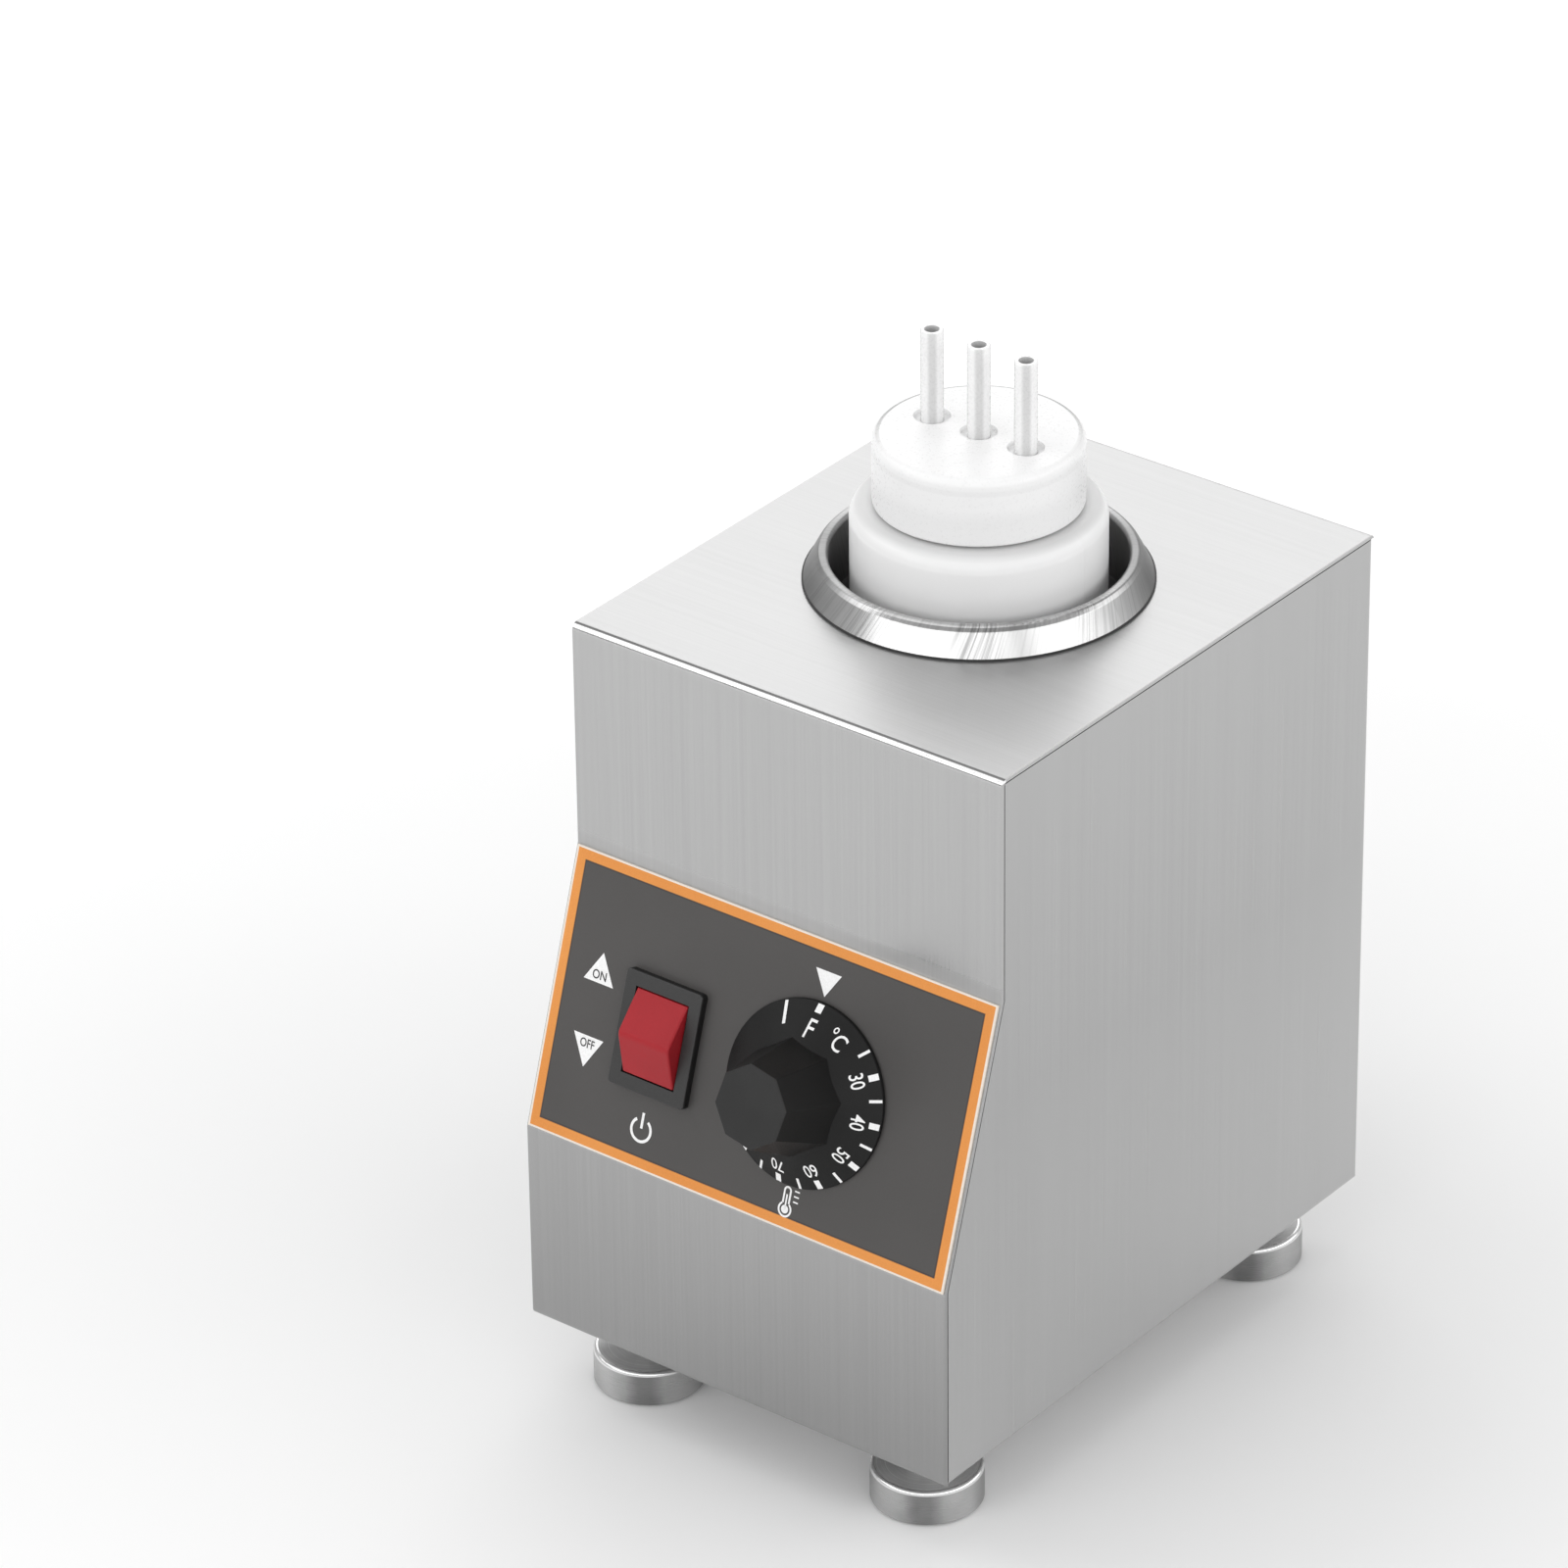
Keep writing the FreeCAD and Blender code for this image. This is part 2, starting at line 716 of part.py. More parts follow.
def make_cap_seal():
    inner = spout_spacing + spout_flange_radius + 3 * fit_clearance
    return ring(cap_inner_radius - thread_depth, inner, neck_top_z, cap_ceiling_z, 0, well_y)


def make_spout(x):
    tip = cap_top_z + spout_rise
    low = cap_ceiling_z - spout_flange_thickness
    return turned([
        (spout_bore, low, 0),
        (spout_flange_radius, low, 0),
        (spout_flange_radius, cap_ceiling_z, 0),
        (spout_radius, cap_ceiling_z, 0),
        (spout_radius, tip, spout_tip_round),
        (spout_bore, tip, 0),
    ], x, well_y)


# Control panel

def make_panel_overlay():
    margin = 2 * overlay_margin
    sheet_face = centred_box(casing_width - margin, panel_slope - margin, 0, overlay_thickness)
    switch_hole = centred_box(housing_width + 2 * seam_gap, housing_length + 2 * seam_gap,
                              -1, overlay_thickness + 1, switch_offset, -switch_drop)
    dial_hole = cylinder(bushing_radius + seam_gap, -1, overlay_thickness + 1, dial_offset, -dial_drop)
    overlay = sheet_face.cut(switch_hole).cut(dial_hole)
    for side in (-1, 1):
        overlay = overlay.cut(cylinder(screw_head_radius + seam_gap, -1, overlay_thickness + 1,
                                       dial_offset + side * thermostat_screw_spacing / 2, -dial_drop))
    return on_panel(overlay)


def cross_bar(radius, length, z):
    """Bar along X, centred over the origin at height z."""
    return Part.makeCylinder(radius, length, V(-length / 2, 0, z), V(1, 0, 0))


def rounded_block(width, length, low, high, corner):
    block = centred_box(width, length, low, high)
    uprights = [edge for edge in block.Edges
                if edge.BoundBox.ZLength > (high - low) / 2]
    return block.makeFillet(corner, uprights)


def make_switch_bezel():
    bezel = rounded_block(bezel_width, bezel_length, panel_face, bezel_face, bezel_corner)
    rim = [edge for edge in bezel.Edges if edge.BoundBox.ZMin > bezel_face - 0.01]
    bezel = bezel.makeFillet(bezel_edge_round, rim)
    housing = centred_box(housing_width, housing_length, -housing_depth, panel_face + 0.1)
    cavity = centred_box(cavity_width, cavity_length, -rocker_sunk, bezel_face + 1)
    pin_hole = cross_bar(pivot_pin_radius + nut_clearance, pivot_pin_length + 2 * seam_gap, pivot_z)
    switch = joined([bezel, housing]).cut(cavity).cut(pin_hole)
    return on_panel(switch, switch_offset, switch_drop)


def make_switch_rocker():
    """Roof-shaped rocker whose ends are arcs about the pivot, so that they clear the housing."""
    half = rocker_length / 2
    crown = panel_face + rocker_crown
    bottom = panel_face - rocker_tail
    roof = side_profile([(half, bezel_face, 0), (0, crown, rocker_ridge_round), (-half, bezel_face, 0),
                         (-half - 1, bottom, 0), (half + 1, bottom, 0)],
                        -rocker_width / 2, rocker_width / 2)
    round_end = cross_bar(rocker_end, rocker_width, pivot_z)
    lower = round_end.common(centred_box(rocker_width, 4 * half, bottom, bezel_face))
    upper = roof.common(centred_box(rocker_width, 4 * half, bezel_face - 0.01, crown + 1))
    rocker = joined([lower, upper])
    cheeks = [edge for edge in rocker.Edges
              if abs(edge.BoundBox.XMin) > rocker_width / 2 - 0.01
              and edge.BoundBox.XLength < 0.01
              and edge.BoundBox.ZMin > bezel_face - 0.02
              and edge.BoundBox.ZLength > 0.05]
    rocker = rocker.makeFillet(rocker_cheek_round, cheeks)
    bore = cross_bar(pivot_pin_radius + fit_clearance, rocker_width + 2, pivot_z)
    return on_panel(rocker.cut(bore), switch_offset, switch_drop)


def make_rocker_pivot_pin():
    pin = cross_bar(pivot_pin_radius, pivot_pin_length, pivot_z)
    return on_panel(pin, switch_offset, switch_drop)


def switch_blade_places():
    return [(x, up) for x in (-housing_width / 4, housing_width / 4)
            for up in (-housing_length / 4, housing_length / 4)]


def make_switch_terminals():
    blades = [centred_box(blade_width, blade_thickness, -housing_depth - blade_length,
                          -housing_depth, x, up) for x, up in switch_blade_places()]
    return on_panel(group(blades), switch_offset, switch_drop)


# Temperature dial and thermostat

def octagon(radius, z):
    corners = []
    for side in range(grip_sides + 1):
        angle = math.radians(grip_turn + 360.0 * side / grip_sides)
        corners.append(V(radius * math.cos(angle), radius * math.sin(angle), z))
    return Part.makePolygon(corners)


def make_thermostat_knob():
    face = panel_face
    low = face + skirt_gap
    skirt_top_z = face + skirt_top
    rim_z = low + skirt_rim
    shoulder = grip_base_radius - skirt_wall
    grip_start = grip_base_radius + (grip_base_radius - grip_top_radius) / (knob_height - skirt_top)
    cone_rise = (skirt_top_z - rim_z) / (skirt_radius - grip_base_radius)
    cone_top_z = skirt_top_z + cone_rise * (grip_base_radius - shoulder)
    skirt = turned([(0, low, 0), (skirt_radius, low, 0), (skirt_radius, rim_z, skirt_rim_round),
                    (shoulder, cone_top_z, 0), (0, cone_top_z, 0)])
    grip = Part.makeLoft([octagon(grip_start, skirt_top_z - 1),
                          octagon(grip_top_radius, face + knob_height)], True, True)
    grip = grip.makeFillet(grip_round, [edge for edge in grip.Edges
                                        if edge.BoundBox.ZMax > skirt_top_z])
    inner_rim = skirt_radius - 2 * skirt_wall
    skirt_hollow = turned([(hub_radius, low - 1, 0), (inner_rim, low - 1, 0), (inner_rim, low, 0),
                           (shoulder, skirt_top_z - skirt_wall, 0),
                           (hub_radius, skirt_top_z - skirt_wall, 0)])
    grip_hollow = turned([
        (hub_radius, skirt_top_z - 2 * skirt_wall, 0),
        (shoulder - grip_wall, skirt_top_z - 2 * skirt_wall, 0),
        (grip_top_radius - grip_wall, face + knob_height - grip_wall, 0),
        (hub_radius, face + knob_height - grip_wall, 0)])
    hub_relief = cylinder(hub_radius + hub_relief_gap, low - 1, face + bushing_rise + 2 * skirt_gap)
    knob = joined([skirt, grip]).cut(skirt_hollow).cut(grip_hollow).cut(hub_relief)
    shaft_hole = d_shaft(nut_clearance, face, face + shaft_reach + skirt_gap)
    return on_panel(knob.cut(shaft_hole), dial_offset, dial_drop)


def d_shaft(clearance, low, high):
    """Round bar with a flat on its upper side, widened all round by the clearance."""
    radius = shaft_radius + clearance
    flat_y = shaft_flat + clearance
    return cylinder(radius, low, high).cut(box(-radius, radius, flat_y, radius + 1, low - 1, high + 1))


def make_thermostat_shaft():
    face = panel_face
    round_part = cylinder(shaft_radius, -sheet - shaft_sink, face + bushing_rise + skirt_gap)
    shaft = joined([round_part, d_shaft(0, face + bushing_rise, face + shaft_reach)])
    return on_panel(shaft, dial_offset, dial_drop)


def make_thermostat_body():
    body = rounded_block(thermostat_width, thermostat_length,
                         -sheet - thermostat_depth, -sheet, thermostat_corner)
    bushing = cylinder(bushing_radius, -sheet - 1, panel_face + bushing_rise)
    bore = cylinder(shaft_radius + fit_clearance, -sheet - shaft_sink - seam_gap,
                    panel_face + 2 * bushing_rise)
    body = joined([body, bushing]).cut(bore)
    for side in (-1, 1):
        body = body.cut(cylinder(screw_radius + nut_clearance, -sheet - thermostat_screw_grip - 1, 0,
                                 side * thermostat_screw_spacing / 2))
    return on_panel(body, dial_offset, dial_drop)


def make_thermostat_screws():
    screws = []
    for side in (-1, 1):
        screw = pan_screw(sheet + thermostat_screw_grip)
        screw.translate(V(side * thermostat_screw_spacing / 2, 0, 0))
        screws.append(on_panel(screw, dial_offset, dial_drop))
    return group(screws)


def thermostat_blade_places():
    return [(x, 0.0) for x in (-thermostat_width / 4, thermostat_width / 4)]


def make_thermostat_terminals():
    back = -sheet - thermostat_depth
    blades = [centred_box(blade_width, blade_thickness, back - blade_length, back, x, up)
              for x, up in thermostat_blade_places()]
    return on_panel(group(blades), dial_offset, dial_drop)


# Heater, sensor, cut-out and insulation round the well

def around_well(out, angle, z):
    turn = math.radians(angle)
    return V(out * math.cos(turn), well_y + out * math.sin(turn), z)


def make_heater_band():
    band = ring(heater_outer, heater_inner, heater_bottom, heater_top, 0, well_y)
    half = heater_slit / 2
    band = band.cut(box(-half, half, well_y, well_y + heater_outer + 1, heater_bottom - 1, heater_top + 1))
    ears = []
    for side in (-1, 1):
        low_x = min(side * half, side * (half + heater_thickness))
        high_x = max(side * half, side * (half + heater_thickness))
        ear = box(low_x, high_x, well_y + heater_inner + heater_thickness / 3,
                  well_y + heater_outer + ear_length, heater_bottom, heater_top)
        ears.append(ear)
    band = joined([band] + ears)
    for z in clamp_screw_heights():
        band = band.cut(clamp_bar(stud_radius + fit_clearance, 4 * heater_slit, z))
    return band


def clamp_screw_heights():
    return [heater_bottom + heater_height * share for share in (0.2, 0.8)]


def clamp_bar(radius, length, z):
    return Part.makeCylinder(radius, length,
                             V(-length / 2, well_y + heater_outer + ear_length / 2, z), V(1, 0, 0))


def make_heater_clamp_screw():
    screws = []
    outside = heater_slit / 2 + heater_thickness
    y = well_y + heater_outer + ear_length / 2
    for z in clamp_screw_heights():
        shank = clamp_bar(stud_radius, 2 * (outside + nut_height), z)
        ends = []
        for side in (-1, 1):
            nut = hexagon(nut_width, 0, nut_height)
            nut.rotate(V(0, 0, 0), V(0, 1, 0), 90 * side)
            nut.translate(V(side * outside, y, z))
            ends.append(nut)
        screws.append(joined([shank] + ends))
    return group(screws)


def heater_terminal_places():
    return [(terminal_angle, heater_bottom + heater_height * share) for share in (0.3, 0.7)]


def make_heater_terminals():
    posts = []
    for angle, z in heater_terminal_places():
        start = around_well(heater_outer, angle, z)
        outward = (start - V(0, well_y, z)).normalize()
        base = Part.makeCylinder(2.5 * stem_radius, terminal_base + 1, start - outward, outward)
        stem = Part.makeCylinder(stem_radius, terminal_reach, start, outward)
        posts.append(joined([base, stem]).cut(cylinder(heater_outer, z - 10, z + 10, 0, well_y)))
    return group(posts)


def sensor_axis():
    return well_outer_radius + sensor_radius + fit_clearance


def sensor_low():
    return heater_top + sensor_rise


def make_sensor_bulb():
    place = around_well(sensor_axis(), sensor_angle, 0)
    low = sensor_low()
    high = low + sensor_length
    return turned([(0, low, 0), (sensor_radius, low, sensor_round), (sensor_radius, high, sensor_round),
                   (0, high, 0)], place.x, place.y)


def make_sensor_clip():
    """Spring clips that hug the bulb and whose two feet are welded to the well's wall."""
    place = around_well(sensor_axis(), sensor_angle, 0)
    clips = []
    for share in (0.25, 0.75):
        low = sensor_low() + sensor_length * share - clip_height / 2
        high = low + clip_height
        hug = ring(sensor_radius + fit_clearance + clip_thickness, sensor_radius + fit_clearance,
                   low, high, place.x, place.y)
        feet = ring(well_outer_radius + fit_clearance + clip_thickness,
                    well_outer_radius + fit_clearance, low, high, 0, well_y)
        window = cylinder(2.6 * sensor_radius, low - 1, high + 1, place.x, place.y)
        inside = cylinder(sensor_radius + fit_clearance, low - 1, high + 1, place.x, place.y)
        wall = cylinder(well_outer_radius + fit_clearance, low - 1, high + 1, 0, well_y)
        clips.append(joined([hug.cut(wall), feet.common(window).cut(inside)]))
    return group(clips)


def make_capillary_tube():
    start = around_well(sensor_axis(), sensor_angle, sensor_low() + sensor_length)
    entry = panel_point(dial_offset, -dial_drop + thermostat_length / 2, -sheet - thermostat_depth / 2)
    up_slope = (panel_point(0, 1, 0) - panel_point(0, 0, 0)).normalize()
    above = start + V(0, 0, capillary_rise)
    ahead = V(start.x, entry.y + capillary_rise, above.z)
    last = entry + up_slope * capillary_entry
    return tube_along([start, above, ahead, last + V(0, 0, capillary_drop), last, entry],
                      capillary_radius, capillary_bend)


def make_insulation_wrap():
    sleeve = ring(insulation_radius, insulation_bore, base_top, insulation_top, 0, well_y)
    half = insulation_slot_width / 2
    front_slot = box(-half, half, well_y - 2 * insulation_radius, well_y - heater_inner / 2,
                     base_top - 1, insulation_top + 1)
    half = ear_slot_width / 2
    rear_slot = box(-half, half, well_y + heater_inner / 2, well_y + 2 * insulation_radius,
                    heater_bottom - 2, insulation_top + 1)
    return sleeve.cut(front_slot).cut(rear_slot)


def make_insulation_pad():
    pad = ring(pad_radius, cutout_pocket_radius, base_top, well_floor - well_wall - fit_clearance,
               0, well_y)
    half = pad_channel_width / 2
    return pad.cut(box(-half, half, well_y - 2 * pad_radius, well_y, base_top - 1, well_floor))


def make_thermal_cutout():
    high = well_floor - well_wall
    body = cylinder(cutout_radius, high - cutout_height, high, 0, well_y)
    flange = cylinder(cutout_radius + cutout_flange_width, high - cutout_flange_height, high, 0, well_y)
    return joined([body, flange])


def make_cutout_terminals():
    blades = []
    for side in (-1, 1):
        x = side * cutout_radius / 2
        low_x = x - blade_thickness / 2
        high_x = x + blade_thickness / 2
        stem = box(low_x, high_x, well_y - cutout_blade_root, well_y + cutout_blade_root,
                   cutout_low_z - cutout_neck, cutout_low_z)
        arm = box(low_x, high_x, well_y - cutout_blade_root - blade_length,
                  well_y + cutout_blade_root, cutout_blade_z - blade_width / 2,
                  cutout_low_z - cutout_neck)
        blades.append(joined([stem, arm]))
    return group(blades)


# Mains inlet, earth stud and leads

def make_inlet_socket():
    flange = rounded_block(inlet_flange_width, inlet_flange_height, 0, inlet_flange,
                           inlet_flange_corner)
    body = centred_box(inlet_body_width, inlet_body_height, -inlet_body_depth, 0.1)
    recess = rounded_block(inlet_recess_width, inlet_recess_height,
                           inlet_flange - inlet_recess_depth, inlet_flange + 1, inlet_recess_corner)
    socket = joined([flange, body]).cut(recess)
    for side in (-1, 1):
        socket = socket.cut(cylinder(screw_radius + nut_clearance, -1, inlet_flange + 1,
                                     side * inlet_screw_spacing / 2))
    for x, up in inlet_pin_places():
        socket = socket.cut(centred_box(inlet_pin_thickness + 2 * nut_clearance,
                                        inlet_pin_width + 2 * nut_clearance,
                                        -inlet_body_depth - 1, 0, x, up))
    return facing_rear(socket, inlet_x, inlet_z)


def inlet_pin_places():
    return [(-inlet_pin_spread, inlet_pin_shift), (inlet_pin_spread, inlet_pin_shift),
            (0.0, -inlet_pin_shift)]


def make_inlet_pins():
    """Contact pins in the recess that carry on through the socket's floor as tabs."""
    pins = []
    for x, up in inlet_pin_places():
        pins.append(centred_box(inlet_pin_thickness, inlet_pin_width, -inlet_body_depth - blade_length,
                                inlet_flange - inlet_pin_recess, x, up))
    return facing_rear(group(pins), inlet_x, inlet_z)


def make_inlet_screws():
    screws = []
    for side in (-1, 1):
        screw = pan_screw(inlet_flange + 2 * rear_sheet)
        screw.translate(V(0, 0, inlet_flange))
        screws.append(facing_rear(screw, inlet_x + side * inlet_screw_spacing / 2, inlet_z))
    return group(screws)


def earth_place():
    return V(inlet_x + earth_stud_offset, rear_panel_inner - earth_stud_setback, base_top)


def make_earth_stud():
    place = earth_place()
    nut_low = place.z + earth_nut_rise
    stud = cylinder(stud_radius, place.z, place.z + earth_stud_height, place.x, place.y)
    collar = cylinder(2 * stud_radius, place.z, place.z + earth_collar_height, place.x, place.y)
    nut = hexagon(nut_width, nut_low, nut_low + nut_height, place.x, place.y)
    return joined([stud, collar, nut])


def sleeve(width, thickness):
    """Insulating sleeve along -Z over a tab of the given section whose root is at Z = 0."""
    outside = centred_box(width + 2 * sleeve_wall, thickness + 2 * sleeve_wall,
                          -blade_length - sleeve_overhang, -1.0)
    slot = centred_box(width + 2 * fit_clearance, thickness + 2 * fit_clearance,
                       -blade_length - fit_clearance, 0)
    return outside.cut(slot)


def ring_terminal_reach():
    return heater_outer + terminal_base + lead_radius + ring_gap


def ring_terminal(angle, z, side):
    """Ring on a heater post, with the barrel that holds the lead above or below it."""
    centre = around_well(ring_terminal_reach(), angle, z)
    outward = (centre - V(0, well_y, z)).normalize()
    disc = Part.makeCylinder(2 * stem_radius, ring_thickness, centre, outward)
    hole = Part.makeCylinder(stem_radius + fit_clearance, 3 * ring_thickness, centre - outward, outward)
    middle = centre + outward * (ring_thickness / 2)
    low = min(z + side * barrel_rise, z + side * (barrel_rise + barrel_length))
    barrel = cylinder(lead_radius + barrel_wall, low, low + barrel_length, middle.x, middle.y)
    return joined([disc, barrel]).cut(hole)


def ring_terminal_end(angle, z, side):
    middle = around_well(ring_terminal_reach() + ring_thickness / 2, angle, z)
    return middle + V(0, 0, side * (barrel_rise + barrel_length))


def make_lead_terminals():
    pieces = []
    for x, up in switch_blade_places():
        cover = sleeve(blade_width, blade_thickness)
        cover.translate(V(x, up, -housing_depth))
        pieces.append(on_panel(cover, switch_offset, switch_drop))
    for x, up in thermostat_blade_places():
        cover = sleeve(blade_width, blade_thickness)
        cover.translate(V(x, up, -sheet - thermostat_depth))
        pieces.append(on_panel(cover, dial_offset, dial_drop))
    for x, up in inlet_pin_places():
        cover = sleeve(inlet_pin_thickness, inlet_pin_width)
        cover.translate(V(x, up, -inlet_body_depth))
        pieces.append(facing_rear(cover, inlet_x, inlet_z))
    for side in (-1, 1):
        cover = sleeve(blade_thickness, blade_width)
        cover.rotate(V(0, 0, 0), V(1, 0, 0), -90)
        cover.translate(V(side * cutout_radius / 2, well_y - cutout_blade_root, cutout_blade_z))
        pieces.append(cover)
    for (angle, z), side in zip(heater_terminal_places(), (-1, 1)):
        pieces.append(ring_terminal(angle, z, side))
    return group(pieces)


def sleeve_end(root, outward):
    return root - outward * (blade_length + sleeve_overhang)


def panel_outward():
    return (panel_point(0, 0, 1) - panel_point(0, 0, 0)).normalize()


def switch_lead_end(column, row):
    root = panel_point(switch_offset + column * housing_width / 4,
                       -switch_drop + row * housing_length / 4, -housing_depth)
    return sleeve_end(root, panel_outward())


def thermostat_lead_end(column):
    root = panel_point(dial_offset + column * thermostat_width / 4, -dial_drop,
                       -sheet - thermostat_depth)
    return sleeve_end(root, panel_outward())


def inlet_lead_end(pin):
    x, up = inlet_pin_places()[pin]
    root = V(inlet_x + x, rear_panel_outer - inlet_body_depth, inlet_z - up)
    return sleeve_end(root, V(0, 1, 0))


def cutout_lead_end(column):
    return V(column * cutout_radius / 2,
             well_y - cutout_blade_root - blade_length - sleeve_overhang, cutout_blade_z)


def deeper(point):
    """Point further inside the casing, square to the control panel."""
    return point - panel_outward() * lead_run


def lead(points):
    return tube_along(points, lead_radius, lead_bend)


def make_live_leads():
    bay_y = well_y - insulation_radius + lead_bend
    lane_z = base_top + 2.2 * lead_run
    inlet = inlet_lead_end(0)
    switch_in = switch_lead_end(-1, -1)
    switch_out = switch_lead_end(-1, 1)
    stat_in = thermostat_lead_end(-1)
    stat_out = thermostat_lead_end(1)
    cutout_in = cutout_lead_end(1)
    cutout_out = cutout_lead_end(-1)
    heater_angle, heater_z = heater_terminal_places()[0]
    heater_end = ring_terminal_end(heater_angle, heater_z, -1)
    to_switch = lead([
        inlet, inlet - V(0, 0.8 * lead_run, 0),
        V(wall_lane_x, inlet.y - 2.5 * lead_run, lane_z), V(wall_lane_x, bay_y, lane_z),
        V(wall_lane_x + 3, deeper(switch_in).y, switch_in.z - 2 * lead_run),
        deeper(switch_in), switch_in])
    to_thermostat = lead([
        switch_out, deeper(switch_out),
        deeper(switch_out) + V(lead_run, -3, 2.4 * lead_run),
        deeper(stat_in) + V(-lead_run, -3, 3.2 * lead_run),
        deeper(stat_in) + V(0, 0, lead_run), deeper(stat_in), stat_in])
    to_cutout = lead([
        stat_out, deeper(stat_out), V(deeper(stat_out).x, deeper(stat_out).y, heater_bottom),
        V(cutout_in.x + 0.6 * lead_run, deeper(stat_out).y + 3, cutout_in.z + 2),
        cutout_in - V(0, 2 * lead_run, 0), cutout_in])
    to_heater = lead([
        cutout_out, cutout_out - V(0, 2 * lead_run, 0),
        V(heater_end.x, deeper(stat_out).y + 3, cutout_in.z + lead_run),
        heater_end - V(0, 0, lead_run), heater_end])
    return group([to_switch, to_thermostat, to_cutout, to_heater])


def make_neutral_leads():
    bay_y = well_y - insulation_radius + lead_bend
    lane_z = base_top + 1.1 * lead_run
    inlet = inlet_lead_end(1)
    switch_in = switch_lead_end(1, -1)
    switch_out = switch_lead_end(1, 1)
    heater_angle, heater_z = heater_terminal_places()[1]
    heater_end = ring_terminal_end(heater_angle, heater_z, 1)
    to_switch = lead([
        inlet, inlet - V(0, 0.7 * lead_run, 0), inlet - V(2, 0.7 * lead_run, 1.2 * lead_run),
        V(wall_lane_x + 6, inlet.y - 1.6 * lead_run, lane_z),
        V(wall_lane_x, inlet.y - 4 * lead_run, lane_z), V(wall_lane_x, bay_y, lane_z),
        V(wall_lane_x + lead_run, deeper(switch_in).y + 3, lane_z + 2.5 * lead_run),
        deeper(switch_in) - V(0, 0, 1.5 * lead_run), deeper(switch_in), switch_in])
    to_heater = lead([
        switch_out, deeper(switch_out), deeper(switch_out) + V(2, 3, 1.2 * lead_run),
        heater_end + V(0, 0, lead_run), heater_end])
    return group([to_switch, to_heater])


def make_earth_lead():
    inlet = inlet_lead_end(2)
    stud = earth_place()
    end = stud + V(0, -2 * stud_radius, earth_collar_height + lead_radius)
    return lead([
        inlet, inlet - V(0, lead_run / 2, 0), V(inlet.x + 1.2 * lead_run, inlet.y - 2, inlet.z + 5),
        V(stud.x, inlet.y - 1, inlet.z), V(stud.x, inlet.y - 1, end.z + lead_run / 3), end])


PIECES = {
    "casing_wrap": make_casing_wrap,
    "side_panel_left": lambda: make_side_panel(-1),
    "side_panel_right": lambda: make_side_panel(1),
    "rear_panel": make_rear_panel,
    "base_plate": make_base_plate,
    "rear_panel_screws": make_rear_panel_screws,
    "base_plate_screws": make_base_plate_screws,
    "foot_pads": make_foot_pads,
    "foot_nuts": make_foot_nuts,
    "well_collar": make_well_collar,
    "collar_gasket": make_collar_gasket,
    "heating_well": make_heating_well,
    "well_nuts": make_well_nuts,
    "bottle_body": make_bottle_body,
    "bottle_cap": make_bottle_cap,
    "cap_seal": make_cap_seal,
    "panel_overlay": make_panel_overlay,
    "switch_bezel": make_switch_bezel,
    "switch_rocker": make_switch_rocker,
    "rocker_pivot_pin": make_rocker_pivot_pin,
    "switch_terminals": make_switch_terminals,
    "thermostat_knob": make_thermostat_knob,
    "thermostat_shaft": make_thermostat_shaft,
    "thermostat_body": make_thermostat_body,
    "thermostat_screws": make_thermostat_screws,
    "thermostat_terminals": make_thermostat_terminals,
    "heater_band": make_heater_band,
    "heater_clamp_screw": make_heater_clamp_screw,
    "heater_terminals": make_heater_terminals,
    "sensor_bulb": make_sensor_bulb,
    "sensor_clip": make_sensor_clip,
    "capillary_tube": make_capillary_tube,
    "insulation_wrap": make_insulation_wrap,
    "insulation_pad": make_insulation_pad,
    "thermal_cutout": make_thermal_cutout,
    "cutout_terminals": make_cutout_terminals,
    "inlet_socket": make_inlet_socket,
    "inlet_pins": make_inlet_pins,
    "inlet_screws": make_inlet_screws,
    "earth_stud": make_earth_stud,
    "lead_terminals": make_lead_terminals,
    "live_leads": make_live_leads,
    "neutral_leads": make_neutral_leads,
    "earth_lead": make_earth_lead,
}

os.makedirs("parts", exist_ok=True)
shapes = {name: make() for name, make in PIECES.items()}
for place_name, (foot_x, foot_y) in foot_places.items():
    shapes["foot_" + place_name] = make_foot(foot_x, foot_y)
for spout_name, spout_x in spout_places.items():
    shapes[spout_name] = make_spout(spout_x)
for name, shape in shapes.items():
    print(name, len(shape.Solids), shape.isValid(), round(shape.Volume, 1))
    shape.exportStep("parts/" + name + ".step")
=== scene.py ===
import json
import math

import bpy
from mathutils import Matrix, Vector


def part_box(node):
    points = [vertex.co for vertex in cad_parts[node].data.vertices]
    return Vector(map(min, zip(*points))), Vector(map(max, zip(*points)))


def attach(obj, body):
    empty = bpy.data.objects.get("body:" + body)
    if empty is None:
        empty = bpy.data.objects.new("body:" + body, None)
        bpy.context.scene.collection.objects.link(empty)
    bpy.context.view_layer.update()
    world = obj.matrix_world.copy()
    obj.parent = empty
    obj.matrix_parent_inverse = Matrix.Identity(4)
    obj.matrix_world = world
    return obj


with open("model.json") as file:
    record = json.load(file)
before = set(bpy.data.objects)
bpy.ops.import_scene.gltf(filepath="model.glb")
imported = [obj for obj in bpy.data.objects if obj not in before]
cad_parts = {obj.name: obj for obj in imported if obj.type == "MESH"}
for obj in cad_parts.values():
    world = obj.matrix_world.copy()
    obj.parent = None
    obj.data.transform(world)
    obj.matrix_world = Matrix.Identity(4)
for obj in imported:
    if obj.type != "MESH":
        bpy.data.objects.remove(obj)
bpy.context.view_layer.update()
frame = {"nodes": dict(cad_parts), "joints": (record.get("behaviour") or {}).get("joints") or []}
joints = {joint["name"]: joint for joint in frame["joints"]}


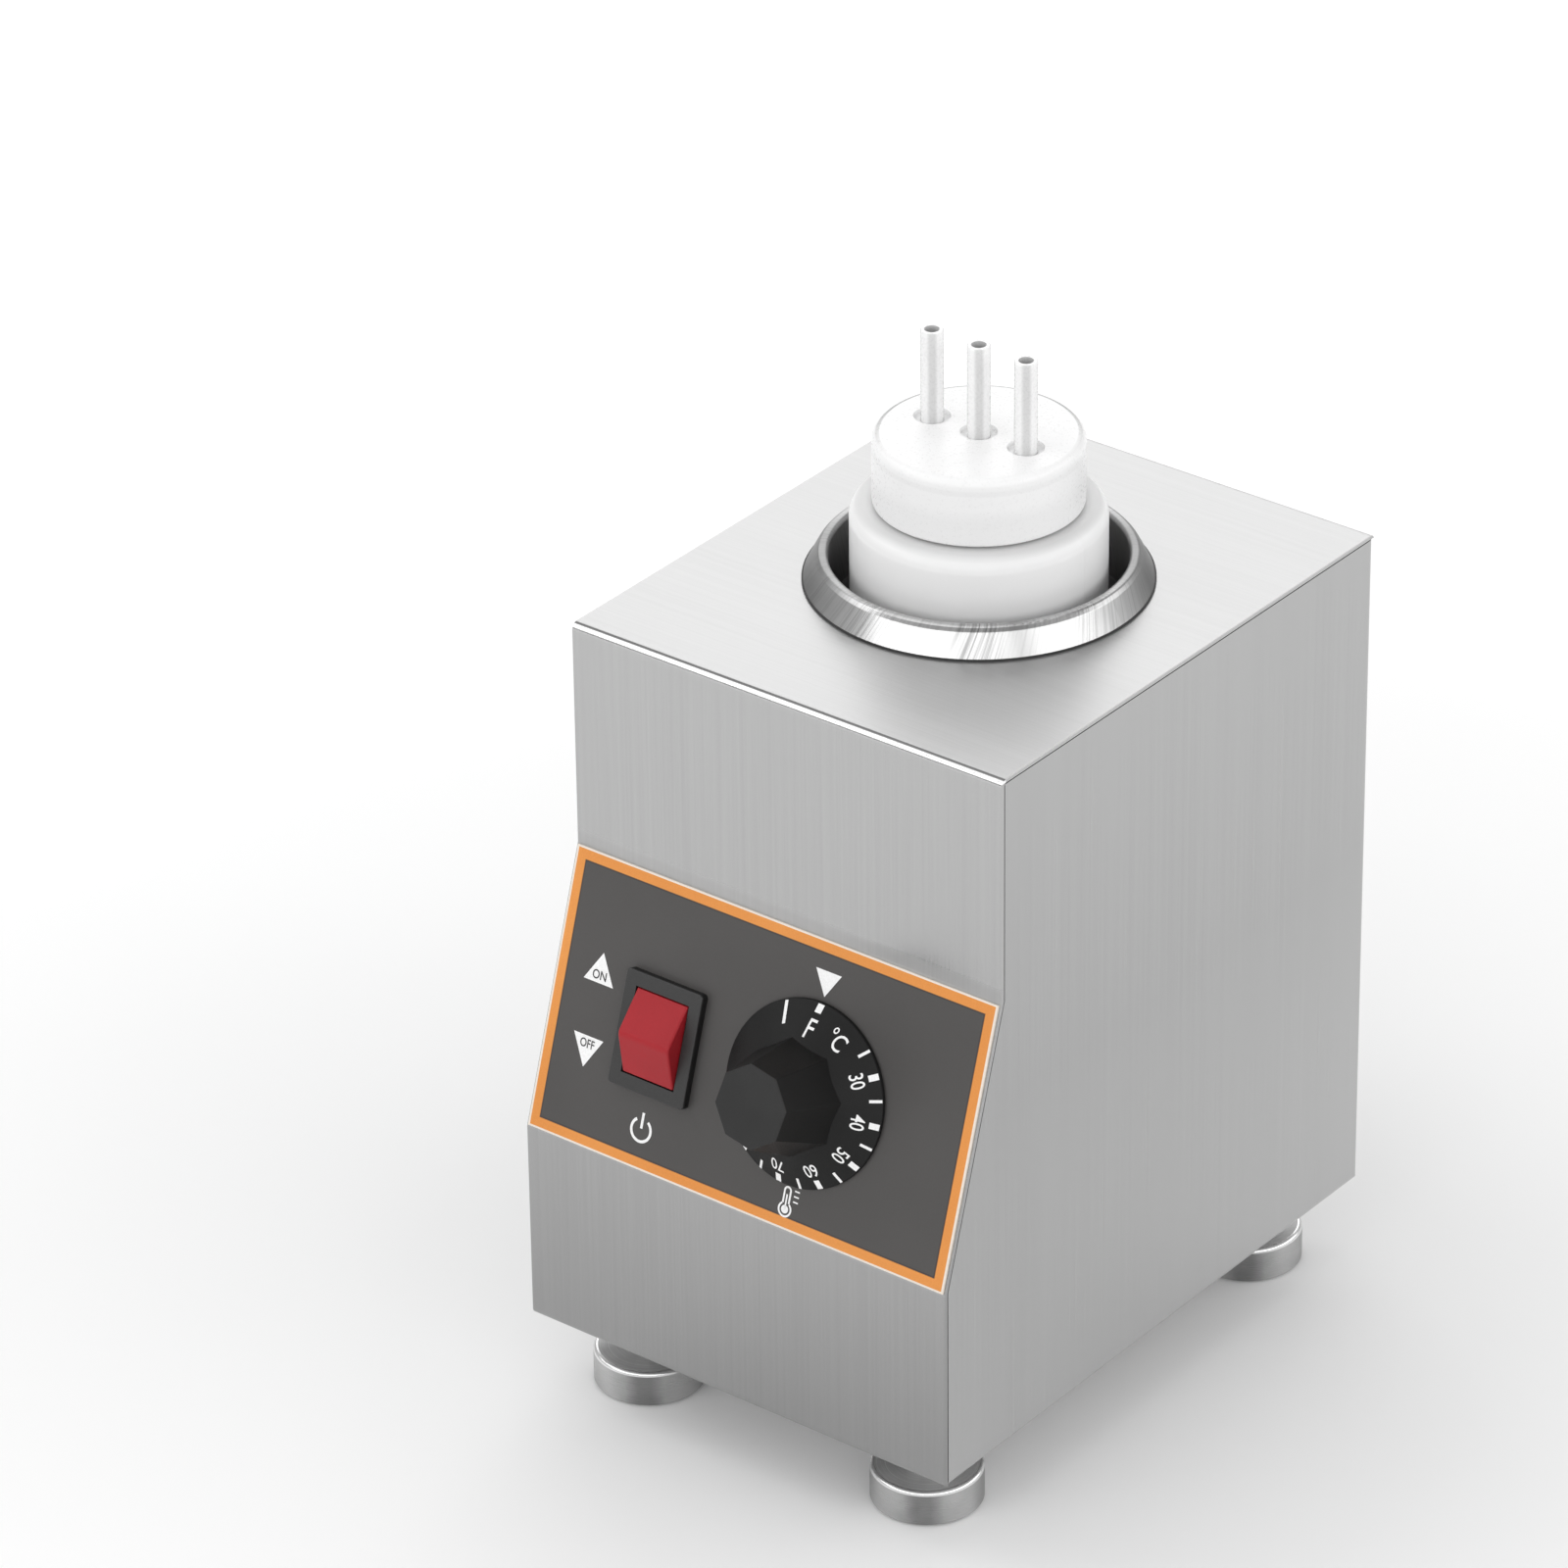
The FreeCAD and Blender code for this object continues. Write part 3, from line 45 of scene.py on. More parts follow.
# Casing front and top: one sheet of brushed stainless steel, bent at the front foot of the casing,
# at both edges of the slanted panel and at the top. The front is brushed upright, the top across.
class Value:
    """A number that varies over a surface: one socket of a finish's node tree."""

    def __init__(self, finish, socket):
        self.finish = finish
        self.socket = socket

    def paired(self, operation, first, second):
        inputs = {0: first, 1: second}
        made = self.finish.node("ShaderNodeMath", {"operation": operation}, inputs)
        return Value(self.finish, made.outputs[0])

    def __add__(self, other):
        return self.paired("ADD", self, other)

    def __radd__(self, other):
        return self.paired("ADD", other, self)

    def __sub__(self, other):
        return self.paired("SUBTRACT", self, other)

    def __rsub__(self, other):
        return self.paired("SUBTRACT", other, self)

    def __mul__(self, other):
        return self.paired("MULTIPLY", self, other)

    def __rmul__(self, other):
        return self.paired("MULTIPLY", other, self)

    def __truediv__(self, other):
        return self.paired("DIVIDE", self, other)

    def __gt__(self, other):
        return self.paired("GREATER_THAN", self, other)

    def __lt__(self, other):
        return self.paired("LESS_THAN", self, other)

    def __abs__(self):
        return self.paired("ABSOLUTE", self, 0.0)

    def __pow__(self, power):
        return self.paired("POWER", self, power)

    def larger(self, other):
        return self.paired("MAXIMUM", self, other)

    def smaller(self, other):
        return self.paired("MINIMUM", self, other)

    def sine(self):
        return self.paired("SINE", self, 0.0)

    def band(self, low, high):
        """1 where the number lies from low to high, falling to 0 over a sixth of that beside it."""
        edge = (high - low) / 6
        rise = self.ramp(low - edge, low + edge)
        fall = self.ramp(high - edge, high + edge)
        return rise * (1 - fall)

    def ramp(self, low, high, start=0.0, end=1.0):
        """The number taken from the span low to high into the span start to end, held at its ends."""
        inputs = {"Value": self, "From Min": low, "From Max": high, "To Min": start, "To Max": end}
        made = self.finish.node("ShaderNodeMapRange", {"clamp": True}, inputs)
        return Value(self.finish, made.outputs["Result"])

    def spread(self, start=0.0, end=1.0):
        """The middle of a noise, where nearly all of it lies, taken into the span start to end."""
        return self.ramp(0.3, 0.7, start, end)


class Finish:
    """One material, built node by node on the object's own coordinates in metres."""

    def __init__(self, name):
        self.material = bpy.data.materials.new(name)
        self.material.use_nodes = True
        self.tree = self.material.node_tree
        self.tree.nodes.clear()
        self.place = self.node("ShaderNodeTexCoord").outputs["Object"]
        split = self.node("ShaderNodeSeparateXYZ", inputs={"Vector": self.place})
        self.x, self.y, self.z = [Value(self, socket) for socket in split.outputs]

    def node(self, kind, settings=None, inputs=None):
        made = self.tree.nodes.new(kind)
        for name, setting in (settings or {}).items():
            setattr(made, name, setting)
        for name, entry in (inputs or {}).items():
            entry = entry.socket if isinstance(entry, Value) else entry
            if isinstance(entry, bpy.types.NodeSocket):
                self.tree.links.new(entry, made.inputs[name])
            else:
                made.inputs[name].default_value = entry
        return made

    def stretched(self, scale):
        """Object coordinates multiplied by a scale for each axis."""
        made = self.node("ShaderNodeVectorMath", {"operation": "MULTIPLY"}, {0: self.place, 1: scale})
        return made.outputs[0]

    def noise(self, scale, detail=2.0, roughness=0.5, along=None):
        """Cloudy pattern with its mean near 0.5; along stretches it by an amount for each axis."""
        vector = self.stretched(along) if along else self.place
        made = self.node("ShaderNodeTexNoise", inputs={
            "Vector": vector, "Scale": scale, "Detail": detail, "Roughness": roughness})
        return Value(self, made.outputs["Fac"])

    def noise_at(self, across, up, detail):
        """Noise read at two numbers instead of at the object's own place."""
        joined = self.node("ShaderNodeCombineXYZ", inputs={"X": across, "Y": up})
        made = self.node("ShaderNodeTexNoise", inputs={
            "Vector": joined.outputs[0], "Scale": 1.0, "Detail": detail})
        return Value(self, made.outputs["Fac"])

    def around(self, x, y):
        """Place round an upright axis: rightwards, rearwards and straight out from it."""
        right = self.x - x
        rear = self.y - y
        return right, rear, (right * right + rear * rear) ** 0.5

    def mix(self, factor, first, second):
        """Colour between two colours by a factor."""
        made = self.node("ShaderNodeMix", {"data_type": "RGBA"}, {0: factor, 6: first, 7: second})
        return made.outputs[2]

    def bump(self, height, distance, strength=1.0):
        made = self.node("ShaderNodeBump", inputs={
            "Height": height, "Distance": distance, "Strength": strength})
        return made.outputs["Normal"]

    def surface(self, **inputs):
        """Principled surface whose sockets are given by name, with underscores for spaces."""
        named = {name.replace("_", " "): entry for name, entry in inputs.items()}
        shader = self.node("ShaderNodeBsdfPrincipled", inputs=named)
        self.node("ShaderNodeOutputMaterial", inputs={"Surface": shader.outputs[0]})
        return self.material


def tone(red, green, blue):
    """Colour from the 0 to 255 values that the eye reads, as the renderer's linear colour."""
    def linear(level):
        share = level / 255
        return share / 12.92 if share <= 0.04045 else ((share + 0.055) / 1.055) ** 2.4
    return (linear(red), linear(green), linear(blue), 1.0)


def grey(level):
    return tone(level, level, level)


def dress(material, *nodes):
    """Gives each named CAD node the material."""
    for node in nodes:
        mesh = frame["nodes"][node].data
        mesh.materials.clear()
        mesh.materials.append(material)


def brushed(finish, lines, light, dark, roughness):
    """Steel with fine brush lines: its colour, roughness and relief follow the same lines."""
    fine = finish.noise(1.0, 3.0, 0.6, along=lines)
    broad = finish.noise(1.0, 2.0, 0.5, along=tuple(scale * 0.35 for scale in lines))
    cloud = finish.noise(11.0, 2.0)
    streak = (fine - 0.5) * 0.9 + (broad - 0.5) * 0.4 + (cloud - 0.5) * 0.15 + 0.5
    colour = finish.mix(streak.spread(), dark, light)
    return colour, fine.ramp(0.25, 0.75, roughness - 0.03, roughness + 0.04), fine


casing_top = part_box("casing_wrap")[1][2]
bend_drop = 0.0004
upright_lines = (1700.0, 1700.0, 9.0)
across_lines = (9.0, 1700.0, 1700.0)


def casing_steel(name):
    """Steel brushed upright on its walls and across on its top. Painted light makes the top lighter than
    the walls, a painted highlight runs along the top front bend with a painted dark line just behind it,
    and painted shade darkens the front towards its foot.
    """
    finish = Finish(name)
    # Painted light: the top's colours are lighter than the walls', though they are one sheet of steel.
    wall_colour, wall_rough, wall_lines = brushed(finish, upright_lines, grey(183), grey(176), 0.22)
    top_colour, top_rough, top_lines = brushed(finish, across_lines, grey(197), grey(191), 0.34)
    on_top = finish.z > casing_top - bend_drop
    # Painted shade: a dark line across the top just behind its front bend.
    bend_painted_shade = finish.y.band(bend_y + 0.0011, bend_y + 0.0018) * on_top
    # Painted highlight: a near-white band along the rounded front edge of the top.
    bend_painted_highlight = finish.z.band(casing_top - 0.0011, casing_top - bend_drop) * (finish.y < bend_y + 0.002)
    # Painted shade: the walls below the top of the panel darken towards the casing's foot.
    foot_shade = finish.z.ramp(0.03, 0.13, 0.27, 0.04) * (finish.z < overlay_high[2])
    wall_colour = finish.mix(foot_shade, wall_colour, grey(60))
    colour = finish.mix(on_top, wall_colour, top_colour)
    colour = finish.mix(bend_painted_shade * 0.72, colour, grey(60))
    colour = finish.mix(bend_painted_highlight, colour, grey(252))
    relief = wall_lines * (1 - on_top) + top_lines * on_top
    rough = wall_rough * (1 - on_top) + top_rough * on_top
    rough = rough + finish.z.band(overlay_high[2] - 0.002, overlay_high[2] + 0.004) * 0.25
    return finish.surface(Base_Color=colour, Metallic=0.9, Roughness=rough,
                          Normal=finish.bump(relief, 0.00003, 1.0))


panel_normal = Vector(joints["dial_turn"]["axis"]).normalized()
panel_up = panel_normal.cross(Vector((1, 0, 0)))
dial_centre = Vector(joints["dial_turn"]["pos_m"])
overlay_low, overlay_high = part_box("panel_overlay")
bend_y = overlay_high[1]
dress(casing_steel("brushed_front_steel"), "casing_wrap")


# Side panels, rear panel and base plate: separate steel sheets. The sides are folded inwards at their
# edges and brushed upright, and the rear and base are flat satin sheets held by pan head screws.
def wall_steel(name, light, dark, lines, roughness=0.24, foot_painted_light=0.0):
    """Brushed sheet, with painted light that makes it lighter by a share towards its foot."""
    finish = Finish(name)
    colour, rough, relief = brushed(finish, lines, light, dark, roughness)
    if foot_painted_light:
        # Painted light: the sheet lightens towards its foot.
        colour = finish.mix(finish.z.ramp(0.03, 0.13, foot_painted_light, 0.0), colour, grey(255))
    return finish.surface(Base_Color=colour, Metallic=0.9, Roughness=rough,
                          Normal=finish.bump(relief, 0.00003, 1.0))


dress(wall_steel("brushed_side_steel", grey(178), grey(172), upright_lines, 0.24, 0.16),
      "side_panel_left", "side_panel_right")
dress(wall_steel("satin_rear_steel", grey(188), grey(166), across_lines, 0.42), "rear_panel")
dress(wall_steel("satin_base_steel", grey(180), grey(158), across_lines, 0.45), "base_plate")


# Screws, studs and nuts: zinc-plated steel with a fine grain and slight clouding. They hold the rear
# panel, base plate, well, inlet and thermostat to the casing, and the pin holds the rocker.
def plated(name, light, dark, roughness, metal=0.95):
    finish = Finish(name)
    cloud = finish.noise(900.0, 3.0)
    grain = finish.noise(1.0, 2.0, 0.6, along=(4000.0, 4000.0, 900.0))
    colour = finish.mix(cloud.spread(), dark, light)
    rough = grain.spread(roughness - 0.06, roughness + 0.1)
    return finish.surface(Base_Color=colour, Metallic=metal, Roughness=rough,
                          Normal=finish.bump(grain, 0.00003, 0.4))


dress(plated("zinc_plate", grey(214), grey(178), 0.26), "rear_panel_screws", "base_plate_screws",
      "inlet_screws", "thermostat_screws", "well_nuts", "foot_nuts", "heater_clamp_screw",
      "rocker_pivot_pin", "sensor_clip")


# Feet: turned steel discs with a rounded rim, each on a stud, with a rubber pad let into its base.
# Each stud goes up through the base plate and is held by a nut inside the casing.
def turned_steel(name, places, radius, top, light, dark):
    """Steel with lathe rings round each foot's own axis, painted reflection as four light and four dark
    stripes round its side, and a painted highlight on its top rim.
    """
    finish = Finish(name)
    to_left = finish.x < 0.0
    to_front = finish.y < (places[0][1] + places[2][1]) / 2
    right, rear, out = finish.around(to_left * (places[0][0] - places[1][0]) + places[1][0],
                                     to_front * (places[0][1] - places[2][1]) + places[2][1])
    quarter = ((right * band_turn[0] + rear * band_turn[1]) / out) ** 2
    bands = 1 - 8 * quarter * (1 - quarter)
    rings = finish.noise_at(out * lathe_lines, finish.z * lathe_lines, 3.0)
    cloud = finish.noise(160.0, 2.0)
    colour = finish.mix((rings * 0.3 + cloud * 0.7).spread(), dark, light)
    on_side = out > radius - foot_wall
    # Painted reflection: four light and four dark stripes round each foot's side.
    colour = finish.mix(bands.ramp(-1.0, 0.0, 0.3, 0.0) * on_side, colour, grey(236))
    colour = finish.mix(bands.ramp(0.1, 0.9, 0.0, 0.5) * on_side, colour, grey(70))
    at_top = finish.z > top - foot_rim_round
    # Painted highlight: a near-white ring along the rounded top rim.
    rim = (out > radius - foot_rim_width) * at_top
    colour = finish.mix(rim * 0.8, colour, grey(252))
    inside = (out < radius - foot_rim_width) * at_top
    return finish.surface(Base_Color=colour, Metallic=0.95 - inside * 0.7,
                          Roughness=rings.spread(0.2, 0.3),
                          Normal=finish.bump(rings, 0.00003, 0.5))


foot_names = ["foot_front_left", "foot_front_right", "foot_rear_left", "foot_rear_right"]
foot_places = []
for foot_name in foot_names:
    low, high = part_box(foot_name)
    foot_places.append(((low[0] + high[0]) / 2, (low[1] + high[1]) / 2))
foot_radius = (high[0] - low[0]) / 2
foot_top = 0.011
foot_rim_width = 0.0013
foot_rim_round = 0.0012
foot_wall = 0.0004
lathe_lines = 5200.0
band_turn = (0.549, -0.836)
foot_steel = turned_steel("turned_foot_steel", foot_places, foot_radius, foot_top, grey(190), grey(170))
dress(foot_steel, *foot_names)


def rubber(name, light, dark, roughness=0.72):
    finish = Finish(name)
    grain = finish.noise(2600.0, 3.0)
    cloud = finish.noise(120.0, 2.0)
    colour = finish.mix((grain * 0.4 + cloud * 0.6).spread(), dark, light)
    rough = grain.spread(roughness - 0.08, roughness + 0.08)
    return finish.surface(Base_Color=colour, Roughness=rough, Normal=finish.bump(grain, 0.00006, 0.5))


dress(rubber("foot_rubber", grey(52), grey(34)), "foot_pads")
dress(rubber("gasket_silicone", grey(58), grey(40), 0.6), "collar_gasket")
dress(rubber("seal_silicone", grey(206), grey(188), 0.5), "cap_seal")


# Heated well: a drawn stainless pot under the top sheet, dulled by heat and cleaning.
# Its flange hangs under the top sheet on studs and nuts, and the heater band grips its wall.
def drawn_steel(name, light, dark):
    finish = Finish(name)
    right, rear, out = finish.around(well_x, well_y)
    rings = finish.noise_at(out * 1800.0, finish.z * 1800.0, 3.0)
    cloud = finish.noise(30.0, 3.0)
    colour = finish.mix((rings * 0.5 + cloud * 0.5).spread(), dark, light)
    return finish.surface(Base_Color=colour, Metallic=0.9, Roughness=rings.spread(0.34, 0.5),
                          Normal=finish.bump(rings, 0.00003, 0.5))


collar_low, collar_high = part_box("well_collar")
well_x = (collar_low[0] + collar_high[0]) / 2
well_y = (collar_low[1] + collar_high[1]) / 2
dress(drawn_steel("drawn_well_steel", grey(214), grey(190)), "heating_well")


# Well collar: a spun steel cone with a rolled lip, polished bright, rougher at its two sides and with
# upright brush marks. Painted reflection darkens those sides and shows the marks there as dark scratches,
# and paints dark streaks and faint dark patches. It sits on a silicone gasket over the top sheet's hole
# and guides the bottle.
def polished_collar(name):
    finish = Finish(name)
    right, rear, out = finish.around(well_x, well_y)

    def along(way):
        """1 where the collar faces along a level direction or against it, 0 where it faces across."""
        return abs(right * way[0] + rear * way[1]) / out

    lean = (finish.z - casing_top) * mark_lean
    marks = finish.noise_at((right + rear * lean) / out * mark_count,
                            (rear - right * lean) / out * mark_count, 2.0)
    cloud = finish.noise(40.0, 2.0)
    colour = finish.mix(marks.ramp(0.3, 0.55) * cloud.ramp(0.35, 0.6, 0.6, 1.0), grey(184), grey(208))
    aside = along(side_way)
    # Scratch marks, drawn dark only on the two sides as part of their painted dark reflection.
    scratches_and_painted_shade = marks.ramp(0.4, 0.56, 1.0, 0.0) * aside.band(0.56, 0.78)
    colour = finish.mix(scratches_and_painted_shade * 0.22, colour, grey(120))
    # Painted reflection: the marks show as dark streaks at the collar's front and back.
    painted_dark_streaks = along(marked_way).ramp(0.08, 0.16, 1.0, 0.0)
    colour = finish.mix(painted_dark_streaks * marks.ramp(0.4, 0.56, 0.6, 0.05), colour, grey(110))
    # Painted reflection: faint dark patches at the collar's front right and rear left.
    painted_dark_patches = along(dark_patch_way).ramp(0.02, 0.16, 1.0, 0.0)
    colour = finish.mix(painted_dark_patches * 0.4, colour, grey(110))
    # Painted reflection: the two sides that face along side_way are darkened.
    colour = finish.mix(aside.ramp(0.7, 0.98, 0.0, 0.5), colour, grey(80))
    blurred = aside.ramp(0.6, 0.95, 0.0, 0.16)
    return finish.surface(Base_Color=colour, Metallic=1.0,
                          Roughness=marks.spread(0.22, 0.26) + blurred)


mark_lean = 9.0
mark_count = 75.0

# Level directions, rightwards and rearwards, that the two sides with painted dark reflection face, and
# that the painted dark streaks and the faint painted dark patches lie square to
side_way = (0.785, 0.619)
marked_way = (0.806, 0.591)
dark_patch_way = (0.639, 0.769)
dress(polished_collar("polished_collar_steel"), "well_collar")


# Bottle: white squeeze bottle blown in a two-part mould, so a faint line runs up each side.
# It stands on the well's floor and lifts straight out.
def white_plastic(name, light, dark, parting=False, shoulder=None, crease=None, rim=None, bores=(),
                  roughness=0.36):
    """Moulded white plastic; shoulder and crease are heights, rim a radius, bores the spouts' places."""
    finish = Finish(name)
    grain = finish.noise(1500.0, 3.0)
    cloud = finish.noise(24.0, 2.0)
    colour = finish.mix((grain * 0.1 + cloud * 0.9).spread(), dark, light)
    relief = grain * 0.08
    if parting:
        line = (finish.y - well_y).band(-0.00018, 0.00018)
        relief = relief + line
    if shoulder:
        # Painted shade: the bottle greys slightly over its rounded shoulder.
        shoulder_painted_shade = finish.z.ramp(shoulder - 0.004, shoulder - 0.0032)
        colour = finish.mix(shoulder_painted_shade, colour, grey(243))
        # Painted shadow: a grey band on the shoulder just under the cap's edge.
        under_cap_painted_shadow = finish.z.ramp(shoulder - 0.0016, shoulder - 0.0002) * (finish.z < shoulder + 0.0002)
        colour = finish.mix(under_cap_painted_shadow, colour, grey(216))
    if crease:
        # Painted shade: the cap's side greys towards its foot, well below the crease.
        skirt = finish.z.ramp(crease - 0.0086, crease - 0.0046, 1.0, 0.0)
        colour = finish.mix(skirt, colour, grey(241))
        # Painted shade: a faint grey line in the crease.
        crease_painted_shade = finish.z.band(crease - 0.0009, crease + 0.0006)
        colour = finish.mix(crease_painted_shade * 0.12, colour, grey(196))
    if rim:
        right, rear, out = finish.around(well_x, well_y)
        # Painted shade: a grey line round the top edge, strongest on the rear left half.
        wear_and_painted_light = (rear * side_way[0] - right * side_way[1]).ramp(-0.4 * rim, 0.5 * rim, 0.06, 1.0)
        colour = finish.mix(out.band(rim - 0.0011, rim - 0.0001) * wear_and_painted_light, colour, grey(170))
    for x, y in bores:
        right, rear, out = finish.around(x, y)
        first = abs(right * side_way[0] + rear * side_way[1])
        second = abs(right * side_way[1] - rear * side_way[0])
        # Painted shade: four greyer stripes at the edges of each spout's wall.
        painted_edge_shade = first.larger(second).ramp(spout_radius * 0.88, spout_radius * 0.98)
        colour = finish.mix(painted_edge_shade * (out < spout_radius * 1.1), colour, grey(214))
        # Painted shade: the inside of each bore is greyer.
        colour = finish.mix(out < bore_radius, colour, grey(196))
    return finish.surface(Base_Color=colour, Roughness=grain.spread(roughness - 0.05, roughness + 0.06),
                          Subsurface_Weight=0.25, Subsurface_Radius=(0.004, 0.004, 0.004),
                          Subsurface_Scale=1.0,
                          Normal=finish.bump(relief, 0.00008, 0.5))


cap_low, cap_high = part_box("bottle_cap")
cap_gap = 0.0006
bottle_plastic = white_plastic("bottle_white", grey(251), grey(247), parting=True,
                               shoulder=cap_low[2] - cap_gap)
dress(bottle_plastic, "bottle_body")


# Cap and its three spouts: a white moulded screw cap. Painted shade greys a line round its top edge, most
# on its rear left half, a line in its crease and its side below. The spouts are pressed up through it from
# inside, and painted shade gives each spout four greyer stripes round its wall and a greyer bore.
cap_crease = cap_high[2] - 0.0038
cap_radius = (cap_high[0] - cap_low[0]) / 2
cap_edge_round = 0.001
cap_plastic = white_plastic("cap_white", grey(251), grey(247), crease=cap_crease,
                            rim=cap_radius - cap_edge_round, roughness=0.3)
dress(cap_plastic, "bottle_cap")
spout_names = ["spout_left", "spout_middle", "spout_right"]
spout_radius = 0.0031
bore_radius = 0.00205
spout_places = []
for spout_name in spout_names:
    low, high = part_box(spout_name)
    spout_places.append(((low[0] + high[0]) / 2, (low[1] + high[1]) / 2))
dress(white_plastic("spout_white", grey(249), grey(245), bores=spout_places, roughness=0.28), *spout_names)


# Panel overlay: printed film on the slanted panel, a dark warm grey field in an orange frame, cut
# pale along its edge, and a painted highlight lies along that pale edge too. It is stuck to the sheet,
# with holes for the switch and the dial's shaft.
overlay_half_width = (overlay_high[0] - overlay_low[0]) / 2
overlay_middle_x = (overlay_high[0] + overlay_low[0]) / 2
overlay_middle = Vector((overlay_middle_x, (overlay_low[1] + overlay_high[1]) / 2,
                         (overlay_low[2] + overlay_high[2]) / 2))
overlay_half_length = (overlay_high[2] - overlay_low[2]) / 2 / panel_up.z
frame_width = 0.0034
cut_edge_width = 0.0006


def overlay_print():
    finish = Finish("overlay_print")
    across = abs(finish.x - overlay_middle.x)
    up = (finish.y - overlay_middle.y) * panel_up.y + (finish.z - overlay_middle.z) * panel_up.z
    inset = (overlay_half_width - across).smaller(overlay_half_length - abs(up))
    in_frame = inset < frame_width
    film_edge = inset < cut_edge_width
    ink_step = inset.band(frame_width - 0.0001, frame_width + 0.0004)
    grain = finish.noise(3200.0, 2.0)
    cloud = finish.noise(26.0, 2.0)
    shade = (grain * 0.5 + cloud * 0.5).spread()
    field = finish.mix(shade, tone(68, 66, 65), tone(76, 74, 73))
    orange = finish.mix(shade, tone(220, 138, 58), tone(234, 154, 74))
    colour = finish.mix(in_frame, field, orange)
    colour = finish.mix(ink_step * 0.55, colour, tone(46, 36, 30))
    # The pale cut edge of the film, with a painted highlight along it too.
    colour = finish.mix(film_edge, colour, tone(236, 226, 214))
    relief = grain * 0.3 + in_frame
    return finish.surface(Base_Color=colour, Roughness=grain.spread(0.42, 0.52),
                          Normal=finish.bump(relief, 0.00006, 0.4))


dress(overlay_print(), "panel_overlay")


# Print on the panel: white triangles with ON and OFF, the pointer, a power sign and a thermometer.
# All of it is thin ink on the film, the words dark on the white triangles.
def flat_ink(name, colour, wear_and_painted_light):
    finish = Finish(name)
    grain = finish.noise(2400.0, 3.0)
    shade = finish.mix(grain.ramp(0.35, 0.75), colour, wear_and_painted_light)
    return finish.surface(Base_Color=shade, Roughness=grain.spread(0.4, 0.55),
                          Normal=finish.bump(grain, 0.00002, 0.3))


white_ink = flat_ink("white_ink", grey(252), grey(240))
dark_ink = flat_ink("dark_ink", grey(48), grey(62))
ink_lift = 0.00006


def on_panel(right, up, lift):
    """Point over the panel, from the dial's axis rightwards and up the slope."""
    return dial_centre + Vector((right, 0, 0)) + panel_up * up + panel_normal * lift


def make_piece(name, points, faces, material, body):
    mesh = bpy.data.meshes.new(name)
    mesh.from_pydata([tuple(point) for point in points], [], faces)
    mesh.materials.append(material)
    mesh.update()
    piece = bpy.data.objects.new(name, mesh)
    bpy.context.scene.collection.objects.link(piece)
    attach(piece, body)


def panel_print(name, outlines, material):
    """Flat printed areas, each an outline of (right, up) points in millimetres."""
    points = []
    faces = []
    for outline in outlines:
        start = len(points)
        points += [on_panel(right / 1000, up / 1000, ink_lift) for right, up in outline]
        faces.append(list(range(start, start + len(outline))))
    make_piece(name, points, faces, material, "casing")


letter_weight = 0.03
capital_share = 0.72


def lettering(words, height):
    """Points in millimetres and faces of plain lettering, thickened and centred on the origin."""
    data = bpy.data.curves.new("lettering", "FONT")
    data.body = words
    data.size = height / capital_share
    data.resolution_u = 4
    data.offset = letter_weight
    holder = bpy.data.objects.new("lettering", data)
    mesh = bpy.data.meshes.new_from_object(holder)
    points = [vertex.co.copy() for vertex in mesh.vertices]
    faces = [list(polygon.vertices) for polygon in mesh.polygons]
    bpy.data.objects.remove(holder)
    bpy.data.curves.remove(data)
    bpy.data.meshes.remove(mesh)
    middle_x = (min(p.x for p in points) + max(p.x for p in points)) / 2
    middle_y = (min(p.y for p in points) + max(p.y for p in points)) / 2
    return [(p.x - middle_x, p.y - middle_y) for p in points], faces


def panel_words(name, words, height, right, up, material, stretch):
    points, faces = lettering(words, height)
    placed = [on_panel((right + x * stretch) / 1000, (up + y) / 1000, 2 * ink_lift) for x, y in points]
    make_piece(name, placed, faces, material, "casing")


triangle_half = 5.0
triangle_right = -71.5
triangle_ends = (triangle_right - triangle_half, triangle_right + triangle_half)
on_triangle = [(triangle_ends[0], 7.2), (triangle_ends[1], 7.2), (-71.4, 15.7)]
off_triangle = [(triangle_ends[0], -7.8), (-71.6, -16.5), (triangle_ends[1], -7.8)]
pointer_triangle = [(-4.2, 33.7), (0.0, 26.7), (4.2, 33.7)]
panel_print("switch_triangles", [on_triangle, off_triangle], white_ink)
panel_print("dial_pointer", [pointer_triangle], white_ink)
panel_words("on_word", "ON", 2.6, triangle_right, 9.4, dark_ink, stretch=0.85)
panel_words("off_word", "OFF", 2.5, triangle_right, -9.9, dark_ink, stretch=0.8)


def ring_outline(right, up, radius, width, start, end, steps=40):
    """Outline of an arc band, with angles in degrees measured anticlockwise from the right."""
    outer = []
    inner = []
    for step in range(steps + 1):
        angle = math.radians(start + (end - start) * step / steps)
        outer.append((right + radius * math.cos(angle), up + radius * math.sin(angle)))
        inner.append((right + (radius - width) * math.cos(angle), up + (radius - width) * math.sin(angle)))
    return outer + inner[::-1]


def bar_outline(right, up, width, height):
    return [(right - width / 2, up), (right + width / 2, up),
            (right + width / 2, up + height), (right - width / 2, up + height)]


